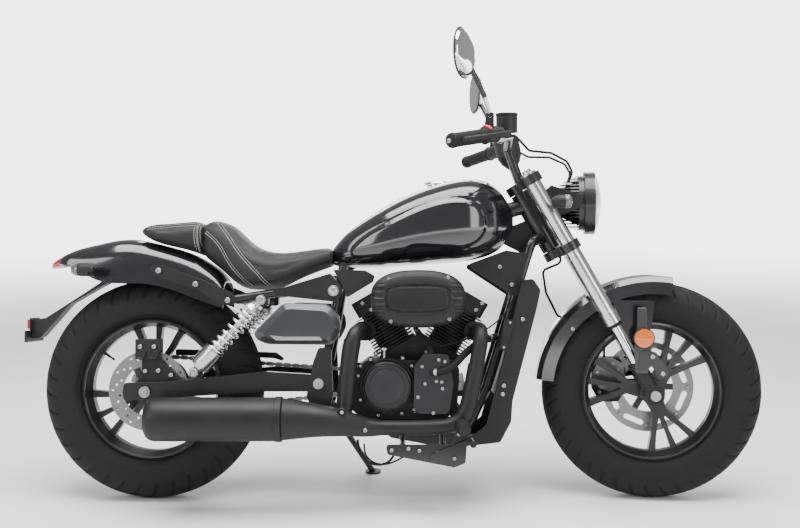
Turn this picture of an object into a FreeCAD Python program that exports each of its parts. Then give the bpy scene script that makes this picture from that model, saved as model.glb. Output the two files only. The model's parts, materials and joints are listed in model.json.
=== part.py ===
import FreeCAD, Part
import math
import os

# Cruiser motorcycle. Built upright in a frame with X forward, Y left and Z up, and the rear axle at X = 0.
# The steering is then turned and the whole machine leaned onto its side stand. Millimetres and degrees.

# Layout
wheelbase = 1400.0
lean = 8.0
rest_steer = -7.1
rake = 29.6
fork_offset = 45.0
axle_clamp_half = 24.0
leg_spacing = 190.0
fit = 0.3
bearing_gap = 0.05

# Wheels
front_tyre_radius = 304.0
front_tyre_width = 110.0
front_bead_radius = 196.0
rear_tyre_radius = 307.5
rear_tyre_width = 130.0
rear_bead_radius = 198.0
rim_depth = 24.0
spoke_width = 15.0
spoke_root = 52.0
spoke_thickness = 30.0
spoke_angle = 28.0
hub_radius = 34.0
front_axle_radius = 8.0
rear_axle_radius = 8.5
front_disc_radius = 130.0
front_disc_band = 58.0
rear_disc_radius = 110.0
rear_disc_band = 40.0
disc_carrier_lap = 6.0
disc_thickness = 4.0
front_disc_side = 58.0
rear_disc_side = -82.0
disc_clearance = 5.0

# Drive
chain_side = 80.0
chain_width = 12.0
chain_height = 12.0
chain_roller = 8.0
chain_pitch = 12.7
rear_sprocket_radius = 85.0
front_sprocket_radius = 30.0
sprocket_thickness = 6.0
output_x = 585.0
output_z = 322.0

# Fork and steering head, lengths measured up the leg from the axle
fork_tube_radius = 22.5
stanchion_radius = 15.0
lower_radius = 23.0
lower_top = 100.0
tube_bottom = 224.0
lower_clamp_at = 466.0
upper_clamp_at = 679.0
clamp_thickness = 26.0
stem_radius = 13.0
head_wall = 13.0
bar_radius = 11.0
riser_side = 58.0
switch_radius = 21.0
switch_length = 42.0
perch_length = 20.0
reservoir_radius = 28.0
reservoir_height = 44.0
grip_radius = 18.0
grip_length = 120.0
bar_half_width = 390.0
headlamp_radius = 88.5
dial_tilt = 14.0
headlamp_back = 166.0
headlamp_up = 527.5
lamp_fin_pitch = 9.0
lamp_fin_slot = 4.5
lamp_fin_depth = 14.0
hose_radius = 3.5

# Main frame tubes
backbone_radius = 22.0
down_tube_radius = 14.0
rail_radius = 12.0
pivot_x = 472.0
pivot_z = 331.0
pivot_radius = 18.0
arm_inner = 98.0
arm_thickness = 24.0
arm_depth = 54.0
shock_side = 140.0
shock_top_x = 317.0
shock_top_z = 558.0
shock_bottom_x = 136.0
shock_bottom_z = 363.0
spring_radius = 26.0

# Engine
crank_x = 748.0
crank_z = 315.0
vee_half_angle = 30.0
case_half_width = 105.0
barrel_radius = 46.0
fin_half = 60.0
fin_thickness = 3.0
fin_pitch = 9.0
fin_start = 132.0
fin_count = 13
head_half = 52.0
head_length = 46.0
air_cleaner_x = 742.0
air_cleaner_z = 561.0
air_cleaner_inner = 78.0
air_cleaner_outer = 190.0
throttle_half = 42.0
inlet_run = 48.0

# Bodywork
tank_wall_gap = 8.0
fender_wall = 3.0
front_fender_gap = 16.0
front_fender_half = 66.0
seat_gap = 0.4
side_cover_inner = 126.0
side_cover_thickness = 21.0

# Exhaust
header_radius = 19.0
header_side = -142.0
muffler_side = -190.0
muffler_radius = 58.0
muffler_z = 242.0
muffler_rear = 17.0
muffler_front = 381.0

# Side stand
stand_pivot_x = 520.0
stand_pivot_y = 118.0
stand_pivot_z = 190.0
stand_foot_x = 610.0
stand_foot_y = 232.0
stand_rod_radius = 9.0
stand_foot_radius = 24.0
stand_foot_thickness = 6.0
stand_pin_radius = 6.0
stand_eye_half = 10.0


def vec(x, y, z):
    return FreeCAD.Vector(x, y, z)


def sin(angle):
    return math.sin(math.radians(angle))


def cos(angle):
    return math.cos(math.radians(angle))


along_x = vec(1, 0, 0)
along_y = vec(0, 1, 0)
along_z = vec(0, 0, 1)
both_sides = (-1, 1)

front_crown = front_tyre_width / 2
rear_crown = rear_tyre_width / 2
front_axle = vec(wheelbase, 0, front_tyre_radius - front_crown + front_crown / cos(lean))
rear_axle = vec(0, 0, rear_tyre_radius - rear_crown + rear_crown / cos(lean))
steer_up = vec(-sin(rake), 0, cos(rake))
steer_ahead = vec(cos(rake), 0, sin(rake))
steer_base = front_axle - steer_ahead * fork_offset
headlamp_spot = front_axle + vec(-headlamp_back, 0, headlamp_up)


# Basic shapes

def beside(anchor, points):
    """XZ outline points measured from an anchor."""
    return [(anchor.x + x, anchor.z + z) for x, z in points]


def rod(start, end, radius):
    """Round bar between two points."""
    return Part.makeCylinder(radius, (end - start).Length, start, end - start)


def taper(start, end, start_radius, end_radius):
    """Cone between two points."""
    return Part.makeCone(start_radius, end_radius, (end - start).Length, start, end - start)


def pipe_path(points, bend):
    """Straight runs joined by tangent arcs."""
    edges = []
    here = points[0]
    for before, corner, after in zip(points, points[1:], points[2:]):
        back = (before - corner).normalize()
        ahead = (after - corner).normalize()
        half = back.getAngle(ahead) / 2
        cut = bend / math.tan(half)
        into = corner + back * cut
        out = corner + ahead * cut
        middle = corner + (back + ahead).normalize() * (bend / math.sin(half) - bend)
        if (into - here).Length > 0.01:
            edges.append(Part.LineSegment(here, into).toShape())
        edges.append(Part.Arc(into, middle, out).toShape())
        here = out
    edges.append(Part.LineSegment(here, points[-1]).toShape())
    return Part.Wire(edges)


def pipe(points, radius, bend):
    """Round tube along a bent path."""
    if len(points) == 2:
        return rod(points[0], points[1], radius)
    ring = Part.Wire(Part.makeCircle(radius, points[0], points[1] - points[0]))
    sweep = Part.BRepOffsetAPI.MakePipeShell(pipe_path(points, bend))
    sweep.add(ring)
    sweep.build()
    sweep.makeSolid()
    return sweep.shape()


def box(low, high):
    """Box between two corners."""
    size = high - low
    return Part.makeBox(size.x, size.y, size.z, low)


def outline(points, y, corner):
    """Closed XZ outline at a given Y, with rounded corners."""
    spots = [vec(x, y, z) for x, z in points]
    edges = []
    tangents = []
    for before, here, after in zip(spots[-1:] + spots[:-1], spots, spots[1:] + spots[:1]):
        back = (before - here).normalize()
        ahead = (after - here).normalize()
        half = back.getAngle(ahead) / 2
        if half > math.radians(89.9):
            continue
        room = min((before - here).Length, (after - here).Length) * 0.45
        cut = min(corner / math.tan(half), room)
        radius = cut * math.tan(half)
        middle = here + (back + ahead).normalize() * (radius / math.sin(half) - radius)
        tangents.append((here + back * cut, middle, here + ahead * cut))
    for this, following in zip(tangents, tangents[1:] + tangents[:1]):
        edges.append(Part.Arc(this[0], this[1], this[2]).toShape())
        edges.append(Part.LineSegment(this[2], following[0]).toShape())
    return Part.Wire(edges)


def plate(points, y_low, y_high, corner=4.0):
    """Flat plate with an XZ outline between two Y values."""
    face = Part.Face(outline(points, y_low, corner))
    return face.extrude(vec(0, y_high - y_low, 0))


def mirrored(shape):
    """The same piece on the other side."""
    return shape.mirror(vec(0, 0, 0), along_y)


def pair(shape):
    """A piece and its twin on the other side, as separate solids."""
    return Part.makeCompound([shape, mirrored(shape)])


def joined(shapes):
    """One solid from pieces that touch or cross."""
    return shapes[0].multiFuse(list(shapes[1:])).removeSplitter()


def largest(shape):
    """The largest solid of a shape."""
    return max(shape.Solids, key=lambda solid: solid.Volume)


def turned_profile(points, centre, axis, across, angle=360.0):
    """Solid of revolution from (radius, along) points."""
    spots = [centre + across * r + axis * a for r, a in points]
    face = Part.Face(Part.makePolygon(spots + spots[:1]))
    return face.revolve(centre, axis, angle)


def power(value, exponent):
    """Signed power, for superellipses."""
    return math.copysign(abs(value) ** exponent, value)


def rounded_ring(x, half_width, bottom, top, fullness):
    """Closed superellipse in the plane X = x."""
    middle = (bottom + top) / 2
    half_height = (top - bottom) / 2
    points = []
    for step in range(20):
        angle = step * 18.0
        y = half_width * power(cos(angle), 2 / fullness)
        z = middle + half_height * power(sin(angle), 2 / fullness)
        points.append(vec(x, y, z))
    curve = Part.BSplineCurve()
    curve.interpolate(points, PeriodicFlag=True)
    return Part.Wire(curve.toShape())


def rounded_body(stations, fullness):
    """Smooth body through superellipse sections given as (x, half width, bottom, top)."""
    rings = [rounded_ring(x, half, bottom, top, fullness) for x, half, bottom, top in stations]
    return Part.makeLoft(rings, True, False)


def arch_curve(x, half_width, low, top):
    """Arch of a fender's section, from its left foot over to its right foot."""
    points = []
    for step in range(13):
        angle = step * 15.0
        y = half_width * power(cos(angle), 0.6)
        z = low + (top - low) * power(sin(angle), 0.6)
        points.append(vec(x, y, z))
    curve = Part.BSplineCurve()
    curve.interpolate(points)
    return curve.toShape(), points[0], points[-1]


def arch_section(x, half_width, low, top):
    """Closed section of a fender with a flat underside."""
    curve, left, right = arch_curve(x, half_width, low, top)
    return Part.Wire([curve, Part.LineSegment(right, left).toShape()])


def arch_wall(x, half_width, low, top, wall):
    """Closed section of a fender's sheet alone."""
    outer, left, right = arch_curve(x, half_width, low, top)
    inner, inner_left, inner_right = arch_curve(x, half_width - wall, low, top - wall)
    return Part.Wire([outer, Part.LineSegment(right, inner_right).toShape(), inner,
                      Part.LineSegment(inner_left, left).toShape()])


def fork_point(up_leg, ahead=0.0, y=0.0):
    """Point beside the fork leg line, measured up from the front axle."""
    return front_axle + steer_up * up_leg + steer_ahead * ahead + vec(0, y, 0)


def steered_box(up_low, up_high, back, ahead, half_width):
    """Block square to the steering axis."""
    block = Part.makeBox(ahead - back, 2 * half_width, up_high - up_low, vec(back, -half_width, up_low))
    block.rotate(vec(0, 0, 0), along_y, -rake)
    block.translate(front_axle)
    return block


# Wheels

def tyre(axle, radius, width, bead_radius):
    """Round-crowned tyre on the wheel's axis."""
    crown = width / 2
    bead = crown * 0.72
    outer = Part.Arc(vec(0, -crown, radius - crown), vec(0, 0, radius), vec(0, crown, radius - crown))
    left_wall = Part.Arc(vec(0, crown, radius - crown), vec(0, crown * 0.96, radius - crown * 1.45),
                         vec(0, bead, bead_radius))
    inside = Part.LineSegment(vec(0, bead, bead_radius), vec(0, -bead, bead_radius))
    right_wall = Part.Arc(vec(0, -bead, bead_radius), vec(0, -crown * 0.96, radius - crown * 1.45),
                          vec(0, -crown, radius - crown))
    section = Part.Face(Part.Wire([edge.toShape() for edge in (outer, left_wall, inside, right_wall)]))
    solid = section.revolve(vec(0, 0, 0), along_y, 360)
    solid.translate(axle)
    return solid


def spoke(angle, start, end, root, tip):
    """One tapered bar of the wheel, pointing out from the hub, waisted between its ends."""
    waist = min(root, tip) * 0.82
    middle = (start + end) / 2
    lower_edge = [(start, -root / 2), (middle, -waist / 2), (end, -tip / 2)]
    upper_edge = [(x, -z) for x, z in reversed(lower_edge)]
    bar = plate(lower_edge + upper_edge, -spoke_thickness / 2, spoke_thickness / 2, 2.0)
    bar.rotate(vec(0, 0, 0), along_y, -angle)
    return bar


def spoke_group(angle, reach):
    """One of the three arms: a broad root that parts into three branches at the rim."""
    fork_radius = hub_radius + 34
    half = spoke_thickness / 2
    root = plate([(hub_radius - 8, -spoke_root / 2), (fork_radius, -spoke_root * 0.36),
                  (fork_radius + 20, -spoke_root * 0.46), (fork_radius + 12, 0),
                  (fork_radius + 20, spoke_root * 0.46), (fork_radius, spoke_root * 0.36),
                  (hub_radius - 8, spoke_root / 2)], -half, half, 6.0)
    root.rotate(vec(0, 0, 0), along_y, -angle)
    branches = [spoke(angle, fork_radius, reach, spoke_width, spoke_width * 1.3)]
    for side in both_sides:
        branch = spoke(0, 0, reach - fork_radius * 0.72, spoke_width * 1.2, spoke_width * 1.5)
        branch.rotate(vec(0, 0, 0), along_y, side * spoke_angle)
        branch.translate(vec(fork_radius - 6, 0, side * -spoke_root * 0.16))
        branch.rotate(vec(0, 0, 0), along_y, -angle)
        branches.append(branch)
    return [root] + branches


def cast_wheel(axle, bead_radius, tyre_width, first_angle, hub_right, hub_left, bore):
    """Cast wheel: rim with a drop centre, hub, and three arms of three branches."""
    half = tyre_width * 0.36
    rim = turned_profile([(bead_radius - fit, -half), (bead_radius - fit, half),
                          (bead_radius - 8, half + 6), (bead_radius - 12, half + 6),
                          (bead_radius - 12, half), (bead_radius - rim_depth, 14),
                          (bead_radius - rim_depth, -14), (bead_radius - 12, -half),
                          (bead_radius - 12, -half - 6), (bead_radius - 8, -half - 6)],
                         vec(0, 0, 0), along_y, along_x)
    hub = rod(vec(0, hub_right, 0), vec(0, hub_left, 0), hub_radius)
    arms = []
    for turn in (0, 120, 240):
        arms += spoke_group(first_angle + turn, bead_radius - rim_depth + 5)
    wheel = joined([rim, hub] + arms)
    wheel = wheel.cut(rod(vec(0, hub_right - 1, 0), vec(0, hub_left + 1, 0), bore))
    wheel.translate(axle)
    return wheel


def brake_disc(axle, radius, band, side, bore, openings):
    """Brake disc: a pierced friction ring on a carrier of six arms."""
    low = side - disc_thickness / 2
    inner = radius - band
    ring = Part.makeCylinder(radius, disc_thickness, vec(0, low, 0), along_y)
    ring = ring.cut(Part.makeCylinder(inner, disc_thickness, vec(0, low, 0), along_y))
    pieces = [ring.cut(openings), Part.makeCylinder(hub_radius + 8, disc_thickness, vec(0, low, 0), along_y)]
    for turn in range(6):
        arm = box(vec(hub_radius, low, -9), vec(inner + disc_carrier_lap, low + disc_thickness, 9))
        arm.rotate(vec(0, 0, 0), along_y, turn * 60)
        pieces.append(arm)
    shape = joined(pieces).cut(Part.makeCylinder(bore, disc_thickness + 2, vec(0, low - 1, 0), along_y))
    shape.translate(axle)
    return shape


def disc_slots(radius, band, side, count):
    """Long rounded slots on the middle line of a disc's friction ring."""
    low = side - disc_thickness / 2 - 1
    middle = radius - band * 0.46
    half_length = math.pi * middle / count * 0.55
    end = band * 0.13
    slots = []
    for turn in range(count):
        slot = box(vec(middle - end, low, -half_length),
                   vec(middle + end, low + disc_thickness + 2, half_length))
        ends = [Part.makeCylinder(end, disc_thickness + 2, vec(middle, low, z), along_y)
                for z in (-half_length, half_length)]
        slot = joined([slot] + ends)
        slot.rotate(vec(0, 0, 0), along_y, (turn + 0.5) * 360 / count)
        slots.append(slot)
    return slots


def disc_holes(radius, band, side, count):
    """Round holes in three staggered rows over a disc's friction ring."""
    low = side - disc_thickness / 2 - 1
    holes = []
    for turn in range(count):
        share = (0.25, 0.5, 0.75)[turn % 3]
        hole = Part.makeCylinder(3.5, disc_thickness + 2, vec(radius - band * share, low, 0), along_y)
        hole.rotate(vec(0, 0, 0), along_y, turn * 360 / count)
        holes.append(hole)
    return holes


front_hub_left = front_disc_side - disc_thickness / 2
rear_hub_right = rear_disc_side + disc_thickness / 2
rear_hub_left = chain_side - sprocket_thickness / 2


def front_tyre():
    return tyre(front_axle, front_tyre_radius, front_tyre_width, front_bead_radius)


def front_wheel():
    return cast_wheel(front_axle, front_bead_radius, front_tyre_width, 52, -60, front_hub_left,
                      front_axle_radius + bearing_gap)


def front_disc():
    slots = disc_slots(front_disc_radius, front_disc_band, front_disc_side, 8)
    return brake_disc(front_axle, front_disc_radius, front_disc_band, front_disc_side, front_axle_radius + 4,
                      slots)


def rear_tyre():
    return tyre(rear_axle, rear_tyre_radius, rear_tyre_width, rear_bead_radius)


def rear_wheel():
    return cast_wheel(rear_axle, rear_bead_radius, rear_tyre_width, 86, rear_hub_right, rear_hub_left,
                      rear_axle_radius + bearing_gap)


def disc_room(axle, radius, side):
    """Return the free room that a brake disc needs inside its caliper."""
    start = side - disc_thickness / 2 - disc_clearance
    return Part.makeCylinder(radius + disc_clearance, disc_thickness + 2 * disc_clearance,
                             axle + along_y * start, along_y)


def rear_disc():
    holes = disc_holes(rear_disc_radius, rear_disc_band, rear_disc_side, 36)
    bore = rear_axle_radius + 4
    return brake_disc(rear_axle, rear_disc_radius, rear_disc_band, rear_disc_side, bore, holes)


def rear_sprocket():
    """Toothed wheel that the chain runs round."""
    tip = rear_sprocket_radius - chain_roller / 2 - fit
    disc = Part.makeCylinder(tip, sprocket_thickness, vec(0, rear_hub_left, 0), along_y)
    holes = [Part.makeCylinder(rear_axle_radius + 4, sprocket_thickness, vec(0, rear_hub_left, 0), along_y)]
    for turn in range(6):
        hole = Part.makeCylinder(13, sprocket_thickness, vec(56, rear_hub_left, 0), along_y)
        hole.rotate(vec(0, 0, 0), along_y, turn * 60)
        holes.append(hole)
    shape = disc.cut(holes)
    shape.translate(rear_axle)
    return shape


# Drive

def chain_ends(half_height):
    """Centres and radii of the chain's two turns, with the ends of its straight runs."""
    back_radius = rear_sprocket_radius + half_height
    front_radius = front_sprocket_radius + half_height
    back = vec(rear_axle.x, 0, rear_axle.z)
    front = vec(output_x, 0, output_z)
    line = (front - back).normalize()
    square = vec(-line.z, 0, line.x)
    slope = math.degrees(math.asin((back_radius - front_radius) / (front - back).Length))
    up = square * cos(slope) + line * sin(slope)
    down = square * -cos(slope) + line * sin(slope)
    return back, front, back_radius, front_radius, line, up, down


def chain_loop(half_height, half_width):
    """Filled outline of the chain's loop round both sprockets, grown by a half height."""
    back, front, back_radius, front_radius, line, up, down = chain_ends(half_height)
    edges = [Part.LineSegment(back + up * back_radius, front + up * front_radius),
             Part.Arc(front + up * front_radius, front + line * front_radius, front + down * front_radius),
             Part.LineSegment(front + down * front_radius, back + down * back_radius),
             Part.Arc(back + down * back_radius, back - line * back_radius, back + up * back_radius)]
    face = Part.Face(Part.Wire([edge.toShape() for edge in edges]))
    face.translate(vec(0, chain_side - half_width, 0))
    return face.extrude(vec(0, 2 * half_width, 0))


def chain_spots():
    """Middle and direction of every link, along both runs and round both turns."""
    back, front, back_radius, front_radius, line, up, down = chain_ends(0)
    angles = [math.degrees(math.atan2(way.z, way.x)) for way in (up, down)]
    front_turn = (angles[0] - angles[1]) % 360
    run = (front - back).dot(line) * cos(math.degrees(math.asin((back_radius - front_radius)
                                                                / (front - back).Length)))
    front_arc = math.radians(front_turn) * front_radius
    back_arc = math.radians(360 - front_turn) * back_radius
    lengths = [run, front_arc, run, back_arc]
    count = 2 * round(sum(lengths) / chain_pitch / 2)
    step = sum(lengths) / count
    spots = []
    for number in range(count):
        here = (number + 0.5) * step
        leg = 0
        while here > lengths[leg]:
            here -= lengths[leg]
            leg += 1
        if leg in (0, 2):
            way = up if leg == 0 else down
            start = back + way * back_radius if leg == 0 else front + way * front_radius
            ahead = vec(way.z, 0, -way.x)
            spots.append((start + ahead * here, math.degrees(math.atan2(ahead.z, ahead.x))))
        else:
            centre, radius, start = ((front, front_radius, angles[0]) if leg == 1
                                     else (back, back_radius, angles[1]))
            angle = start - math.degrees(here / radius)
            spots.append((centre + vec(cos(angle), 0, sin(angle)) * radius, angle - 90))
    return spots, step


def chain():
    """Roller chain: a core as high as its rollers between the outer link plates."""
    half_roller = chain_roller / 2
    half_sprocket = sprocket_thickness / 2 + fit
    half = chain_width / 2
    core = chain_loop(half_roller, half).cut(chain_loop(-half_roller, half))
    spots, step = chain_spots()
    pieces = [core]
    for spot, angle in spots[::2]:
        for side in both_sides:
            low = min(side * half_sprocket, side * half)
            link = box(vec(-step * 0.7, low, -chain_height / 2),
                       vec(step * 0.7, low + half - half_sprocket, chain_height / 2))
            link.rotate(vec(0, 0, 0), along_y, -angle)
            link.translate(spot + along_y * chain_side)
            pieces.append(link)
    return joined(pieces)


def chain_guard():
    """Guard over the chain's upper run, held on the swingarm."""
    outer = plate([(40, 414), (330, 404), (352, 388), (352, 380), (325, 388), (40, 397)], 68, 92, 3.0)
    hollow = box(vec(30, 70.5, 370), vec(360, 89.5, 401))
    foot = box(vec(240, 91, 356.2), vec(262, 94, 402))
    lip = box(vec(240, 91, 356.2), vec(262, arm_inner + 12, 359.2))
    return joined([outer.cut(hollow), foot, lip])


# Frame

def head_centre(up_leg):
    """Point on the steering axis beside a height on the leg."""
    return fork_point(up_leg, -fork_offset)


head_low = lower_clamp_at + clamp_thickness / 2 + 2
head_high = upper_clamp_at - clamp_thickness / 2 - 2
head_radius = stem_radius + head_wall
down_tube_side = 60.0
cradle_side = 75.0
cradle_z = 205.0
pivot_plate_inner = arm_inner + arm_thickness + fit
pivot_plate_outer = pivot_plate_inner + 9
seat_cross = vec(536, 0, 650)
backbone_points = [head_centre(head_high - 40), vec(640, 0, 714), seat_cross + vec(0, 0, 4)]


def down_tube(side, grow=0.0):
    """Down tube and cradle of one side in one bent tube."""
    return pipe([head_centre(head_low + 30), vec(1062, side * down_tube_side, 728),
                 vec(935, side * down_tube_side, 320), vec(880, side * cradle_side, cradle_z),
                 vec(560, side * cradle_side, cradle_z), vec(pivot_x, side * 118, 262)],
                down_tube_radius + grow, 34)


def seat_tubes(grow=0.0):
    """Cross tube under the tank's tail, the rear uprights and the seat rails."""
    tubes = [rod(seat_cross - along_y * 98, seat_cross + along_y * 98, rail_radius + grow)]
    for side in both_sides:
        tubes.append(pipe([seat_cross + along_y * (side * 90), vec(500, side * 104, 440),
                           vec(488, side * 113, 380)], rail_radius + grow, 28))
        tubes.append(pipe([vec(522, side * 96, 598), vec(330, side * 106, 574), vec(212, side * 106, 556)],
                          rail_radius + grow, 60))
    return tubes


def main_frame():
    """Head tube, backbone, cradle, pivot plates, seat rails and their lugs."""
    head = rod(head_centre(head_low), head_centre(head_high), head_radius)
    backbone = pipe(backbone_points, backbone_radius, 90)
    gusset = plate([(1070, 790), (1105, 725), (1040, 690), (940, 740)], -9, 9)
    pieces = [head, backbone, gusset] + seat_tubes()
    for side in both_sides:
        pieces.append(down_tube(side))
        low = min(side * pivot_plate_inner, side * pivot_plate_outer)
        high = max(side * pivot_plate_inner, side * pivot_plate_outer)
        pieces.append(plate([(440, 300), (458, 392), (472, 428), (506, 428), (512, 300), (500, 250),
                             (455, 250)],
                            low, high, 8))
        lug = min(side * 104, side * 128)
        pieces.append(plate([(300, 540), (300, 572), (335, 572), (335, 540)], lug, lug + 24, 8))
        rail_plate = min(side * 100, side * 119)
        pieces.append(plate([(342, 582), (503, 631), (538, 588), (522, 552), (356, 570)],
                            rail_plate, rail_plate + 19, 8))
    cross = rod(vec(610, -cradle_side, cradle_z), vec(610, cradle_side, cradle_z), rail_radius)
    front_cross = rod(vec(900, -70, 248), vec(900, 70, 248), rail_radius)
    pieces += [cross, front_cross]
    frame = joined(pieces)
    bore = rod(head_centre(head_low - 1), head_centre(head_high + 1), stem_radius + bearing_gap)
    clear = rod(head_centre(head_low - 60), head_centre(head_low), head_radius + 30)
    pivot_bolt = rod(vec(pivot_x, -150, pivot_z), vec(pivot_x, 150, pivot_z), 8 + fit)
    return frame.cut([bore, clear, pivot_bolt])


def swingarm():
    """Rear fork: pivot tube, two arms with axle ends, brace and lower shock lugs."""
    pivot_end = arm_inner + arm_thickness
    tube = rod(vec(pivot_x, -pivot_end, pivot_z), vec(pivot_x, pivot_end, pivot_z), pivot_radius)
    brace = rod(vec(385, -arm_inner - 4, 326), vec(385, arm_inner + 4, 326), 15)
    half = arm_depth / 2
    axle_z = rear_axle.z
    pieces = [tube, brace]
    for side in both_sides:
        low = min(side * arm_inner, side * pivot_end)
        arm = plate([(-58, axle_z - half * 0.9), (-62, axle_z), (-58, axle_z + half * 0.9),
                     (60, axle_z + half), (330, 336 + half), (pivot_x + 20, pivot_z + 22),
                     (pivot_x + 20, pivot_z - 22),
                     (330, 336 - half)], low, low + arm_thickness, 10)
        lug = plate([(shock_bottom_x - 24, 325), (shock_bottom_x - 13, shock_bottom_z + 12),
                     (shock_bottom_x + 13, shock_bottom_z + 12), (shock_bottom_x + 24, 325)],
                    low + 6, low + arm_thickness, 8)
        pieces += [arm, lug]
    arm_pair = joined(pieces)
    bolt_hole = rod(vec(pivot_x, -150, pivot_z), vec(pivot_x, 150, pivot_z), 8 + fit)
    axle_hole = rod(rear_axle - along_y * 160, rear_axle + along_y * 160, rear_axle_radius + fit)
    return arm_pair.cut([bolt_hole, axle_hole])


def rear_axle_set():
    """Rear axle with its spacers and end nuts, and the swingarm pivot bolt."""
    end = arm_inner + arm_thickness
    axle = rod(rear_axle - along_y * (end + 18), rear_axle + along_y * (end + 18), rear_axle_radius)
    pieces = [axle]
    spacer_starts = ((-1, -rear_disc_side + disc_thickness / 2 + 1),
                     (1, rear_hub_left + sprocket_thickness + 1))
    for side, start in spacer_starts:
        inner = rear_axle + along_y * (side * start)
        pieces.append(rod(inner, rear_axle + along_y * (side * (arm_inner - fit)), 13))
        nut = Part.makeCylinder(15, 11, rear_axle + along_y * (side * (end + fit)), along_y * side)
        pieces.append(nut)
    return joined(pieces)


def pivot_bolt():
    """Bolt that holds the swingarm between the frame's pivot plates."""
    reach = pivot_plate_outer + 10
    bolt = rod(vec(pivot_x, -reach, pivot_z), vec(pivot_x, reach, pivot_z), 8)
    heads = []
    for side in both_sides:
        start = vec(pivot_x, side * (pivot_plate_outer + fit), pivot_z)
        heads.append(Part.makeCylinder(14, 9, start, along_y * side))
    return joined([bolt] + heads)


def shock_line(side):
    top = vec(shock_top_x, side * shock_side, shock_top_z)
    bottom = vec(shock_bottom_x, side * shock_side, shock_bottom_z)
    return top, bottom


def shock_bodies():
    """Damper, rod, cups, eyes and studs of both rear shocks."""
    units = []
    for side in both_sides:
        top, bottom = shock_line(side)
        line = (bottom - top).normalize()
        length = (bottom - top).Length
        eyes = [rod(end - along_y * 11.7, end + along_y * 11.7, 13) for end in (top, bottom)]
        studs = [rod(top, top + along_y * (-side * (shock_side - 128 - fit)), 8),
                 rod(bottom, bottom + along_y * (-side * (shock_side - arm_inner - arm_thickness - fit)), 8)]
        body = turned_profile([(0, 2), (9, 2), (9, 22), (17, 22), (spring_radius, 36), (spring_radius, 40),
                               (9, 40), (9, length * 0.5), (16, length * 0.5), (16, length - 66),
                               (spring_radius, length - 66), (spring_radius, length - 34), (16, length - 30),
                               (16, length - 16), (9, length - 12), (9, length - 2), (0, length - 2)],
                              top, line, along_y)
        units.append(joined([body] + eyes + studs))
    return Part.makeCompound(units)


def shock_springs():
    """Exposed springs of both shocks, as turns closed against one another."""
    springs = []
    for side in both_sides:
        top, bottom = shock_line(side)
        line = (bottom - top).normalize()
        length = (bottom - top).Length
        start = 40 + fit
        end = length - 66 - fit
        turns = 11
        pitch = (end - start) / turns
        profile = [(18, start)]
        for turn in range(turns):
            here = start + turn * pitch
            profile.append((21, here))
            profile += [(spring_radius, here + pitch * part) for part in (0.25, 0.75)]
        profile += [(21, end), (18, end)]
        springs.append(turned_profile(profile, top, line, along_y))
    return Part.makeCompound(springs)


# Engine

def vee_direction(side):
    """Direction of a cylinder, -1 for the rear one and 1 for the front one."""
    return vec(side * sin(vee_half_angle), 0, cos(vee_half_angle))


def vee_outward(side):
    """Direction square to a cylinder, out of the vee."""
    return vec(side * cos(vee_half_angle), 0, -sin(vee_half_angle))


def engine_cases():
    """Crankcase block with the gearbox behind it and a base for each cylinder."""
    block = plate([(556, 262), (590, 234), (820, 234), (850, 262), (856, 370), (838, 393), (602, 393),
                   (560, 360)], -case_half_width, case_half_width, 18)
    crank = vec(crank_x, 0, crank_z)
    deck = fin_start - fit
    ends = []
    for side in both_sides:
        line = vee_direction(side)
        ends.append(crank + line * deck + vee_outward(side) * (fin_half - 8))
    roof = plate([(ends[0].x, 380), (ends[0].x, ends[0].z), (crank_x, crank_z + deck / cos(vee_half_angle)),
                  (ends[1].x, ends[1].z), (ends[1].x, 380)], -fin_half, fin_half, 3)
    chamber = plate([(500, 270), (500, 372), (625, 372), (632, 322), (625, 270)], 66, case_half_width + 1, 20)
    shaft = rod(vec(output_x, 60, output_z), vec(output_x, 92, output_z), 14)
    sprocket = rod(vec(output_x, chain_side - 3, output_z), vec(output_x, chain_side + 3, output_z),
                   front_sprocket_radius - chain_roller / 2 - fit)
    cases = joined([block, roof]).cut(chamber)
    mounts = [rod(vec(880, -60, 300), vec(840, -60, 300), 10), rod(vec(880, 60, 300), vec(840, 60, 300), 10)]
    return joined([cases, shaft, sprocket] + mounts)


def stepped_cover(x, z, side, start, steps):
    """Round cover from discs of falling radius."""
    discs = []
    here = start
    for radius, height in steps:
        discs.append(Part.makeCylinder(radius, height, vec(x, side * here, z), along_y * side))
        here += height
    return joined(discs)


def engine_side_covers():
    """Clutch cover and gear cover on the right, alternator and sprocket covers on the left."""
    start = case_half_width + fit
    clutch = stepped_cover(658, 324, -1, start, ((65, 22), (59, 12), (46, 8)))
    gear = plate([(730, 262), (748, 250), (826, 250), (838, 330), (824, 410), (760, 414), (732, 380)],
                 -start - 32, -start, 12)
    right = joined([clutch, gear.cut(Part.makeCylinder(66, 60, vec(658, -start - 50, 324), along_y))])
    generator = stepped_cover(735, 315, 1, start, ((78, 24), (60, 8)))
    sprocket_cover = plate([(545, 278), (545, 366), (600, 380), (650, 350), (650, 290), (600, 262)],
                           start, start + 14, 16)
    left = joined([generator, sprocket_cover])
    return Part.makeCompound([right, left])


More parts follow.
